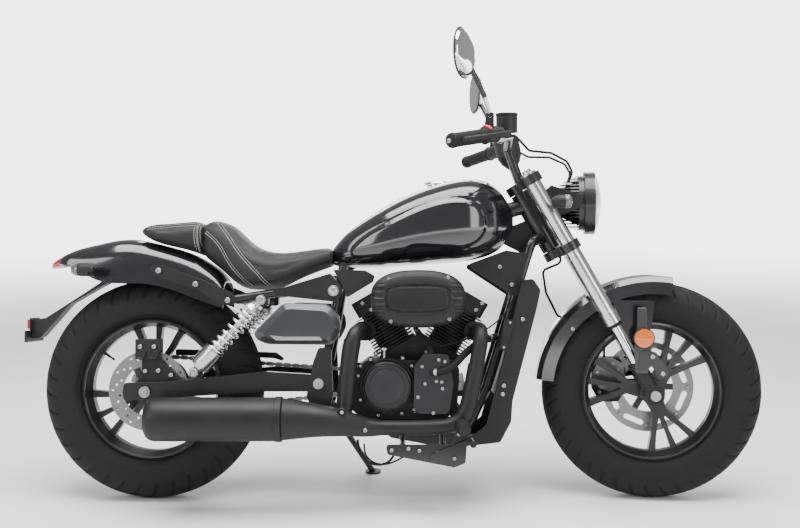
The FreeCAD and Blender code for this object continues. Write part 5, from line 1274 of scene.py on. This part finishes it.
def rowsOfStitches(piece, lines):
    # short threads each side of a seam, laid on the skin by casting rays at it from the side
    tree = BVHTree.FromPolygons([tuple(spot) for spot in backToDrawing(vertexRows(piece.data))],
                                [tuple(face.vertices) for face in piece.data.polygons])
    threads = []
    for line in lines:
        path = smoothPath(line, 240)
        ahead = np.gradient(path, axis=0)
        ahead /= np.linalg.norm(ahead, axis=1)[:, None]
        square = np.stack([-ahead[:, 1], ahead[:, 0]], axis=1)
        reach = np.concatenate([[0], np.cumsum(np.linalg.norm(np.diff(path, axis=0), axis=1))])
        for way in (-1, 1):
            row = path + square * way * seams["rowGap"]
            for side in (-1, 1):
                for start in np.arange(3, reach[-1] - seams["stitch"], seams["pitch"]):
                    ends = []
                    for at in (start, start + seams["stitch"] / 2, start + seams["stitch"]):
                        x, z = (np.interp(at, reach, row[:, column]) for column in (0, 1))
                        origin = Vector((x, side * seams["raysFrom"], z))
                        spot, normal, _, _ = tree.ray_cast(origin, Vector((0, -side, 0)))
                        if spot is not None:
                            ends.append(np.array(spot) + np.array(normal) * seams["lift"])
                    if len(ends) == 3 and np.linalg.norm(ends[2] - ends[0]) < seams["longest"]:
                        threads.append(tubeBody(ends, (0.5 * seams["thread"], seams["thread"],
                                                       0.5 * seams["thread"]), 6))
    return threads


def buildSeats():
    threads = []
    for key in ("rider", "pad"):
        plan = seats[key]
        points, faces = loftBody(plan["stations"], plan["fullness"], 120, 120, plan["ends"], overFender)
        piece = addPiece(plan["node"] + "_cushion", (points, faces), "seatLeather", sharp=180)
        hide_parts(plan["node"])
        blowUp(piece)
        pressSeams(piece, seams[key])
        threads += rowsOfStitches(piece, seams[key])
    addPiece("seat_stitching", threads, "stitchThread", sharp=60)


print("seats")
buildSeats()

# Small pieces seated on the CAD surfaces by casting rays at them from the side


def fromFork(spots):
    return (backToDrawing(spots) - steerBase) @ steerTurn + steerBase


def surfaceOf(names, back):
    spots, corners, used = [], [], 0
    for name in names:
        skin = vertexRows(frame["nodes"][name].data)
        spots += [tuple(spot) for spot in back(skin)]
        corners += [[corner + used for corner in face.vertices] for face in frame["nodes"][name].data.polygons]
        used += len(skin)
    return BVHTree.FromPolygons(spots, corners)


rays = {"from": 450.0, "farSide": -120.0}


def castAt(tree, at, side):
    # where rays from one side land; one that passes by, or lands far over on the other side, is dropped
    hits = [tree.ray_cast(Vector((x, side * rays["from"], z)), Vector((0, -side, 0)))[0] for x, z in at]
    return [tuple(hit) for hit in hits if hit is not None and hit[1] * side > rays["farSide"]]


bolts = {
    "strut_bolts": {"on": ("fender_struts",), "radius": 7.5, "at": ((35, 638), (136, 601), (224, 557))},
    "head_bolts": {"on": ("cylinders",), "radius": 5.5, "at": ((588, 548), (612, 530), (905, 530), (922, 548))},
    "shield_bolts": {"on": ("exhaust_pipes", "muffler"), "radius": 5.5, "sides": (-1,),
                     "at": ((601, 212), (459, 224))},
    "cover_bolts": {"on": ("engine_side_covers", "engine_cases"), "radius": 4.6, "sides": (-1,),
                    "at": ((753, 378), (798, 396), (815, 391), (792, 338), (806, 336), (761, 331), (808, 318),
                           (742, 295), (733, 255), (783, 252))},
    "caliper_pistons": {"on": ("rear_caliper",), "radius": 15.0, "sides": (-1,), "kind": pistonCap,
                        "finish": "engineBlack", "at": ((-17, 409), (18, 409))},
    "frame_cap_bolts": {"on": ("main_frame",), "radius": 12.0, "at": ((511, 583),), "kind": hexScrew},
    "shroud_bolts": {"on": ("radiator_shroud",), "radius": 5.5, "at": ((976, 324), (973, 301), (1028, 505))},
    "neck_bolts": {"on": ("neck_covers",), "radius": 5.5, "at": ((902, 633), (969, 649), (1002, 600))},
    "peg_bolts": {"on": ("footpegs",), "radius": 5.0,
                  "at": ((671, 158), (716, 162), (745, 157), (793, 150), (838, 136), (850, 200))},
    "rear_caliper_bolts": {"on": ("rear_caliper",), "radius": 6.0, "sides": (-1,),
                           "at": ((-6, 363), (30, 364), (65, 352), (-18, 430), (20, 430))},
    "fender_bolts": {"on": ("front_fender",), "radius": 5.5, "body": "steering",
                     "at": ((1381, 572), (1180, 481))},
    "front_caliper_bolts": {"on": ("front_caliper",), "radius": 5.5, "body": "steering",
                            "at": ((1300, 372), (1316, 356), (1256, 346), (1262, 290), (1310, 285))},
}


def buildBolts():
    for name, plan in bolts.items():
        body = plan.get("body", "frame")
        tree = surfaceOf(plan["on"], fromFork if body == "steering" else backToDrawing)
        spots, axes = [], []
        for side in plan.get("sides", (-1, 1)):
            found = castAt(tree, plan["at"], side)
            spots += found
            axes += [(0, side, 0)] * len(found)
        print(name, "seated on", len(spots), "spots")
        addScrews(name, spots, axes, plan["radius"], body, plan.get("finish", "zinc"), plan.get("kind"))


# Headlamp: clear dome, bright dish with a projector, and a thin bright rim

headlamp = {
    "centre": (1234.0, 0.0, 832.0),
    "dome": ((0, 28), (20, 27.4), (40, 25), (58, 20.6), (70, 16), (78, 11), (82.9, 6), (82.9, 2), (76, 7.6),
             (60, 16.4), (40, 21.6), (0, 24.6)),
    "dish": ((0, -5.9), (82.6, -5.9), (82.6, 2), (78, 1), (66, -2), (50, -3.8), (34, -4.6), (0, -4.6)),
    "ribs": 36,
    "projector": ((0, -4.6), (30, -4.6), (30, 3), (27, 5), (25, 3), (24, -1), (0, -1)),
    "eye": ((0, -1.2), (23, -1.2), (22, 4), (17, 9.5), (9, 12.6), (0, 13.6)),
    "trim": ((82.9, 5.5), (84.6, 5.5), (88.4, 8.1), (88.4, 9.6), (85.6, 10.6), (82.9, 9.4), (82.9, 5.5)),
}


def fluted(profile, turn):
    # the dish's middle rings rise and fall round the lamp
    middle = (profile[:, :1] > 30) & (profile[:, :1] < 80)
    return 1 + np.where(middle, 0.012 * np.cos(headlamp["ribs"] * turn), 0)


def buildHeadlamp():
    def lampPart(name, key, finish, segments, sharp=40.0, ripple=None):
        shape = turnedBody(headlamp[key], headlamp["centre"], forward, segments, ripple)
        return addPiece(name, shape, finish, "steering", sharp)

    dome = lampPart("headlamp_dome", "dome", "clearLens", 96)
    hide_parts("headlamp_lens")
    lampPart("headlamp_dish", "dish", "chrome", 180, 25, fluted)
    lampPart("headlamp_projector", "projector", "blackPlastic", 64)
    lampPart("headlamp_eye", "eye", "mirrorGlass", 64, 60)
    lampPart("headlamp_trim", "trim", "trimSilver", 96)


# Fork: seals, top caps, leg collars and the reflectors on their strips

forkDetail = {
    "half": 95.0,
    "seal": ((15.1, -10), (19.5, -10), (21, -8), (21, -3), (22.4, -2), (22.4, 0.4), (15.1, 0.4)),
    "sealUp": 224.0,
    "boss": ((20, -14), (24, -12), (25, -8), (25, 0), (23, 2.4), (17.5, 3.4), (15.1, 3.4), (15.1, -14)),
    "bossUp": 100.0,
    "cap": 697.0,
    "lens": (1368.0, 462.0),
    "reflex": ((0, 0), (25.6, 0), (25.6, 8.4), (23.6, 9.2), (0, 9.6)),
    "reflexRim": ((25.7, 0), (28.8, 0), (28.8, 7), (27.6, 8.6), (25.7, 8.6), (25.7, 0)),
    "strip": ((1346, 366), (1342, 432), (1350, 500), (1350, 544.5), (1376, 544.5), (1376, 500), (1386, 430),
              (1380, 366)),
    "stripFaces": (118.3, 122.0),
    "bracketFaces": (122.1, 124.6),
    "bracket": ((1352, 372), (1356, 424), (1374, 430), (1400, 424), (1434, 374), (1428, 354), (1410, 352),
                (1386, 390), (1372, 372)),
}


def onLeg(up, y):
    return frontAxle + steerUp * up + np.array((0, y, 0))


def buildFork():
    seals, bosses, caps = [], [], []
    for side in (-1, 1):
        y = side * forkDetail["half"]
        for table, key, up in ((seals, "seal", "sealUp"), (bosses, "boss", "bossUp")):
            profile = forkDetail[key] + forkDetail[key][:1]
            table.append(turnedBody(profile, onLeg(forkDetail[up], y), steerUp, 40))
        caps.append(onLeg(forkDetail["cap"], y))
    addPiece("fork_seals", seals, "softRubber", "steering")
    addPiece("fork_leg_collars", bosses, "engineBlack", "steering")
    addScrews("fork_caps", caps, steerUp, 15.0, "steering", "satinAlloy", kind=hexScrew)
    discs, rims = [], []
    x, z = forkDetail["lens"]
    for side in (-1, 1):
        face = (x, side * forkDetail["stripFaces"][1], z)
        discs.append(turnedBody(forkDetail["reflex"], face, (0, side, 0), 64))
        rims.append(turnedBody(forkDetail["reflexRim"], face, (0, side, 0), 64))
    addPiece("reflector_lenses", discs, "reflexAmber", "steering")
    addPiece("reflector_rims", rims, "blackPlastic", "steering")
    strips = [platePiece(forkDetail["strip"], *sorted(side * y for y in forkDetail["stripFaces"]))
              for side in (-1, 1)]
    piece = addPiece("reflector_strips", strips, "stripGrey", "steering")
    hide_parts("fork_reflectors")


# Bars: ribbed grips, rubber boots, dark mirror stems and rims, the red switch, the lever's pivot and the lid

bars = {
    "end": (866.0, 390.0, 979.0),
    "bend": (967.0, 275.0, 1004.0),
    "gripLength": 120.0,
    "gripRadius": 18.0,
    "gripFlange": ((0, 0), (22, 0), (23, 1.5), (22.4, 4), (19.6, 6)),
    "gripRows": (9, 113, 2.0),
    "gripBands": ((24, 30), (92, 112)),
    "gripEnd": ((1.2, 114), (1.6, 120), (0.4, 126), (-4, 128.4)),
    "mirrorCentre": (892.0, 380.0, 1197.0),
    "toe": 13.5,
    "mirrorHalf": (76.0, 61.0),
    "roundness": 2.2,
    "boot": ((0, -5), (13.6, -5), (14.2, -1), (12.6, 1), (13.4, 4), (12.2, 7), (12.8, 10), (11.8, 14),
             (10.6, 36), (9.4, 40), (0, 40)),
    "endCap": 8.4,
    "footBack": 16.3,
    "footUp": 17.0,
    "bootWay": (1.6, 0, 28),
    "stemCorners": ((0, 0, 0), (2, 0, 34), (-12, 30, 80)),
    "stemBend": 24.0,
    "stemRadius": 7.0,
    "stemFrom": 52,
    "hold": (9.6, 34.2, -30.0),
    "rimRadius": 2.6,
    "switchRadius": 21.0,
    "killAt": 7,
    "killRadius": 5.0,
    "killOut": 1.5,
    "killReach": 0.9,
    "pivotAt": 52.3,
    "pivot": ((-4, -4, -14), (8, 8, -13), (22, 26, -9), (36, 44, -3)),
    "pivotRadii": (7, 11, 12, 11, 9.5, 10, 10, 8, 5),
    "lidFrom": (21, 40),
    "lidScrews": (14, 8, 5.4),
    "lidHeight": 1056.7,
    "lid": ((0, 0), (28.2, 0), (29.6, 1), (29.6, 5), (28.4, 6.4), (23, 6.4), (22, 5.4), (0, 5.4)),
}


def barLine(side):
    end = np.array(bars["end"]) * (1, side, 1)
    bend = np.array(bars["bend"]) * (1, side, 1)
    line = (end - bend) / np.linalg.norm(end - bend)
    return end, end - line * bars["gripLength"], line


def bentPath(corners, bend, steps=7):
    # straight runs joined by arcs of one radius, tangent at both ends
    corners = np.asarray(corners, float)
    path = [corners[0]]
    for before, here, after in zip(corners, corners[1:], corners[2:]):
        back, ahead = (before - here), (after - here)
        back, ahead = back / np.linalg.norm(back), ahead / np.linalg.norm(ahead)
        half = math.acos(np.clip(np.dot(back, ahead), -1, 1)) / 2
        centre = here + (back + ahead) / np.linalg.norm(back + ahead) * bend / math.sin(half)
        start, end = here + back * bend / math.tan(half), here + ahead * bend / math.tan(half)
        spread = math.pi - 2 * half
        for share in np.linspace(0, 1, steps):
            first = math.sin((1 - share) * spread) / math.sin(spread)
            second = math.sin(share * spread) / math.sin(spread)
            path.append(centre + (start - centre) * first + (end - centre) * second)
    path.append(corners[-1])
    return np.array(path)


def gripProfile():
    # along the grip from its flange: rings in two bands, plain between them, and a rounded end
    radius = bars["gripRadius"]
    profile = list(bars["gripFlange"])
    for at in np.arange(*bars["gripRows"]):
        band = any(low < at < high for low, high in bars["gripBands"])
        profile.append((radius + 0.3 - (1.0 if band and int(at) % 4 < 2 else 0.0), at))
    profile += [(radius + out, at) for out, at in bars["gripEnd"]]
    return profile + [(0, profile[-1][1])]


def buildBars():
    grips, boots, stems, rims, ends = [], [], [], [], []
    for side in (-1, 1):
        end, inner, line = barLine(side)
        grips.append(turnedBody(gripProfile(), inner, line, 40))
        ends.append(end + line * bars["endCap"])
        foot = inner - line * bars["footBack"] + np.array((0, 0, bars["footUp"]))
        boots.append(turnedBody(bars["boot"], foot, bars["bootWay"], 28))
        turn = turnAbout(upward, side * bars["toe"])
        centre = np.array(bars["mirrorCentre"]) * (1, side, 1)
        hold = centre + turn @ (np.array(bars["hold"]) * (1, -side, 1))
        corners = foot + np.array(bars["stemCorners"]) * (1, side, 1)
        path = bentPath([*corners, hold], bars["stemBend"])
        stems.append(tubeBody(path[path[:, 2] > foot[2] + bars["stemFrom"]], bars["stemRadius"], 16))
        angle = np.linspace(0, 2 * np.pi, 73)
        power = 2 / bars["roundness"]
        oval = np.stack([np.zeros(73), bars["mirrorHalf"][0] * signedPower(np.cos(angle), power),
                         bars["mirrorHalf"][1] * signedPower(np.sin(angle), power)], axis=1)
        rims.append(tubeBody(centre + oval @ turn.T, bars["rimRadius"], 10))
    grip = addPiece("grip_rubbers", grips, "softRubber", "steering", 50)
    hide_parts("grips")
    addScrews("bar_end_screws", ends, [barLine(side)[2] for side in (-1, 1)], 6.0, "steering")
    addPiece("mirror_boots", boots, "softRubber", "steering")
    addPiece("mirror_stems", stems, "frameBlack", "steering")
    addPiece("mirror_rims", rims, "blackPlastic", "steering")
    end, inner, line = barLine(-1)
    up = np.array((0, 0, 1.0)) - line * line[2]
    up /= np.linalg.norm(up)
    across = np.cross(line, up)
    reach = bars["switchRadius"] + bars["killOut"]
    arc = [inner - line * bars["killAt"] + (up * math.cos(angle) + across * math.sin(angle)) * reach
           for angle in np.linspace(-bars["killReach"], bars["killReach"], 15)]
    addPiece("kill_switch", tubeBody(arc, bars["killRadius"], 14), "switchRed", "steering")
    base = inner - line * bars["pivotAt"]
    pivot = base + np.array(bars["pivot"])
    addPiece("lever_pivot", tubeBody(smoothPath(pivot, 9), bars["pivotRadii"], 18), "satinAlloy", "steering")
    lid = (base[0] + bars["lidFrom"][0], base[1] + bars["lidFrom"][1], bars["lidHeight"])
    addPiece("reservoir_lid", turnedBody(bars["lid"], lid, upward, 48), "blackPlastic", "steering")
    along, across, up = bars["lidScrews"]
    addScrews("reservoir_screws", [(lid[0] + way * along, lid[1] + way * across, lid[2] + up)
                                   for way in (-1, 1)], upward, 3.0, "steering")


# Instrument: bezel and dark glass, with plain marks and a needle under it

instrument = {
    "base": (1014.0, 0.0, 931.0),
    "tilt": 14.0,
    "height": 86.0,
    "bezel": ((31.5, -1), (36.6, -1), (37, 1), (35.4, 3.6), (32.6, 3.8), (31.5, 2), (31.5, -1)),
    "glass": ((0, 0.4), (31.6, 0.4), (31.6, 1.2), (24, 2.4), (12, 3.1), (0, 3.3)),
    "marks": 27,
    "markRing": (23.0, 28.0),
    "markSweep": 260,
    "longMark": 2.5,
    "markRadius": 0.55,
    "markUp": 0.5,
    "needleTurn": -2.1,
    "needleReach": (-6, 25),
    "needleRadii": (1.2, 0.5),
    "needleUp": 0.6,
}


def buildInstrument():
    tilt = math.radians(instrument["tilt"])
    axis = np.array((-math.sin(tilt), 0, math.cos(tilt)))
    ahead = np.array((math.cos(tilt), 0, math.sin(tilt)))
    top = np.array(instrument["base"]) + axis * instrument["height"]
    addPiece("dial_bezel", turnedBody(instrument["bezel"], top, axis, 64), "chrome", "steering")
    addPiece("dial_glass", turnedBody(instrument["glass"], top, axis, 64), "dialGlass", "steering", 60)
    marks = []
    low, high = instrument["markRing"]

    def across(angle, reaches, up):
        # points on a line through the dial's middle, at one height over it
        way = ahead * math.cos(angle) + np.array(leftward) * math.sin(angle)
        return [top + way * reach + axis * up for reach in reaches]

    for number in range(instrument["marks"]):
        share = number / (instrument["marks"] - 1)
        angle = math.radians(instrument["markSweep"] * (share - 0.5))
        start = low if number % 2 else low - instrument["longMark"]
        marks.append(tubeBody(across(angle, (start, high), instrument["markUp"]),
                              instrument["markRadius"], 6))
    addPiece("dial_marks", marks, "stitchThread", "steering")
    needle = across(instrument["needleTurn"], instrument["needleReach"], instrument["needleUp"])
    addPiece("dial_needle", tubeBody(needle, instrument["needleRadii"], 6), "switchRed", "steering")


# Signals: smoked lenses at their ends

signals = {
    "front": {"end": (1173.4, 165.0, 832.0), "way": 1, "body": "steering",
              "profile": ((0, -18), (18.5, -17.4), (18.7, -11), (16.6, -5), (12.4, -1.4), (9.4, 0.4),
                          (0, 1.0))},
    "rear": {"end": (-195.4, 150.0, 640.0), "way": -1, "body": "frame",
             "profile": ((0, -20), (17.6, -19.4), (16.6, -13), (14.4, -8), (11.6, -2.8), (8, -0.2), (0, 0.4))},
}


def buildSignals():
    for name, plan in signals.items():
        lenses = []
        for side in (-1, 1):
            end = np.array(plan["end"]) * (1, side, 1)
            lenses.append(turnedBody(plan["profile"], end, (plan["way"], 0, 0), 40))
        addPiece(name + "_signal_lenses", lenses, "smokeLens", plan["body"])


# Front disc: round rivets between its slots, on both faces

discRivets = {"ring": 112.0, "count": 8, "face": 58.0, "half": 2.0, "radius": 5.0}


def buildRivets():
    spots, axes = [], []
    for number in range(discRivets["count"]):
        angle = 2 * math.pi * number / discRivets["count"]
        for way in (-1, 1):
            spots.append((discRivets["ring"] * math.cos(angle), discRivets["face"] + way * discRivets["half"],
                          discRivets["ring"] * math.sin(angle)))
            axes.append((0, way, 0))
    addScrews("front_disc_rivets", spots, axes, discRivets["radius"], "front_wheel", kind=rivetHead)


print("bolts, lamps, fork and bars")
buildBolts()
buildHeadlamp()
buildFork()
buildBars()
buildInstrument()
buildSignals()
buildRivets()

# Close work: radiator fins, fork brackets, caliper plate, a bolt on the case, fuse box, coil cover, footpeg
# rubbers and tyre valves

closeWork = {
    "finCount": 46,
    "finLow": 308.0,
    "finHigh": 577.0,
    "finHalf": 86.0,
    "finDepths": (0.3, 2.4),
    "finBack": -1,
    "bracketBolts": ((1391, 412), (1418, 366)),
    "caliperPlate": ((1262, 388), (1240, 340), (1262, 300), (1300, 290), (1335, 330), (1330, 372), (1296, 390)),
    "caliperPlateFaces": (35.9, 37.9),
    "pegAt": (858.0, 204.0, 226.0),
    "pegLength": 84.0,
    "pegPitch": 9.5,
    "pegGroove": ((18, -3), (16.4, -2), (16.4, 0), (18, 1)),
    "valve": ((0, -3), (5, -3), (5, 0), (4, 3), (3.6, 15), (2.6, 17), (2.6, 24), (3.4, 24), (3.4, 31), (0, 32)),
    "headBolt": ((0, 0), (3.2, 0), (3.2, 20), (9, 21), (9.6, 23), (9.6, 26), (8.8, 28), (0, 28)),
    "headBoltAt": (650.0, -120.0, 400.0),
    "fuseBox": ((985, 505), (1007, 503), (983, 419), (963, 423)),
    "fuseFaces": (-118.0, -112.1),
    "fuseScrews": ((993, 496), (976, 429)),
    "coilCover": ((510, 641), (598, 639), (624, 624), (620, 607), (548, 564), (524, 615)),
    "coilCoverSeat": (530, 612),
    "coilCoverThick": 7,
    "coilCoverGap": 0.2,
    "valves": {"front_wheel": (172.0, 112.0), "rear_wheel": (174.0, 146.0)},
}


def buildRadiatorFins():
    # pleats: a depth that goes in and out with the row, between the ends of the core
    tree = surfaceOf(("radiator",), backToDrawing)
    low, high = [np.array(tree.ray_cast(Vector((1600, 0, z)), Vector((-1, 0, 0)))[0])
                 for z in (closeWork["finLow"], closeWork["finHigh"])]
    half = closeWork["finHalf"]
    rows = []
    for row in range(2 * closeWork["finCount"] + 1):
        spot = low + (high - low) * row / (2 * closeWork["finCount"])
        front, back = spot[0] + closeWork["finDepths"][row % 2], spot[0] + closeWork["finBack"]
        rows.append([(front, half, spot[2]), (front, -half, spot[2]), (back, -half, spot[2]),
                     (back, half, spot[2])])
    rows = np.array([[tuple(np.mean(rows[0], axis=0))] * 4] + rows + [[tuple(np.mean(rows[-1], axis=0))] * 4])
    addPiece("radiator_fins", (rows.reshape(-1, 3), gridFaces(len(rows), 4, wrapColumns=True)), "castAlloy",
             sharp=20)


def pegProfile():
    # a sleeve with grooves round it
    pitch, length = closeWork["pegPitch"], closeWork["pegLength"]
    grooves = [(radius, pitch * number + at) for number in range(1, int(length / pitch))
               for radius, at in closeWork["pegGroove"]]
    return [(15.1, 0), (17, 0), (18, 1)] + grooves + [(18, length - 1), (17, length), (15.1, length), (15.1, 0)]


def buildCloseWork():
    buildRadiatorFins()
    plates, spots, axes = [], [], []
    for side in (-1, 1):
        low, high = sorted(side * y for y in forkDetail["bracketFaces"])
        plates.append(platePiece(forkDetail["bracket"], low, high, 0.6))
        spots += [(x, side * forkDetail["bracketFaces"][1], z) for x, z in closeWork["bracketBolts"]]
        axes += [(0, side, 0)] * len(closeWork["bracketBolts"])
    addPiece("fork_brackets", plates, "frameBlack", "steering")
    addScrews("fork_bracket_bolts", spots, axes, 6.0, "steering")
    addPiece("caliper_plate", platePiece(closeWork["caliperPlate"], *closeWork["caliperPlateFaces"], 0.5),
             "castAlloy", "steering")
    addPiece("head_bolt", turnedBody(closeWork["headBolt"], closeWork["headBoltAt"], upward, 24), "zinc")
    addPiece("fuse_box", platePiece(closeWork["fuseBox"], *closeWork["fuseFaces"], 1.0, 3.0), "blackPlastic")
    addScrews("fuse_box_screws", [(x, closeWork["fuseFaces"][0], z) for x, z in closeWork["fuseScrews"]],
              rightward, 3.6)
    seat = castAt(surfaceOf(("main_frame",), backToDrawing), (closeWork["coilCoverSeat"],), -1)[0][1]
    cover = platePiece(closeWork["coilCover"], seat - closeWork["coilCoverThick"],
                       seat - closeWork["coilCoverGap"])
    addPiece("coil_cover", cover, "blackPlastic")
    x, y, z = closeWork["pegAt"]
    pegs = [turnedBody(pegProfile(), (x, side * y, z), (0, side, 0), 40) for side in (-1, 1)]
    addPiece("footpeg_rubbers", pegs, "softRubber")
    for body, (reach, turn) in closeWork["valves"].items():
        out = np.array((np.cos(np.radians(turn)), 0, np.sin(np.radians(turn))))
        addPiece(body + "_valve", turnedBody(closeWork["valve"], out * reach, -out, 20), "softRubber", body)


buildCloseWork()
print("close work")
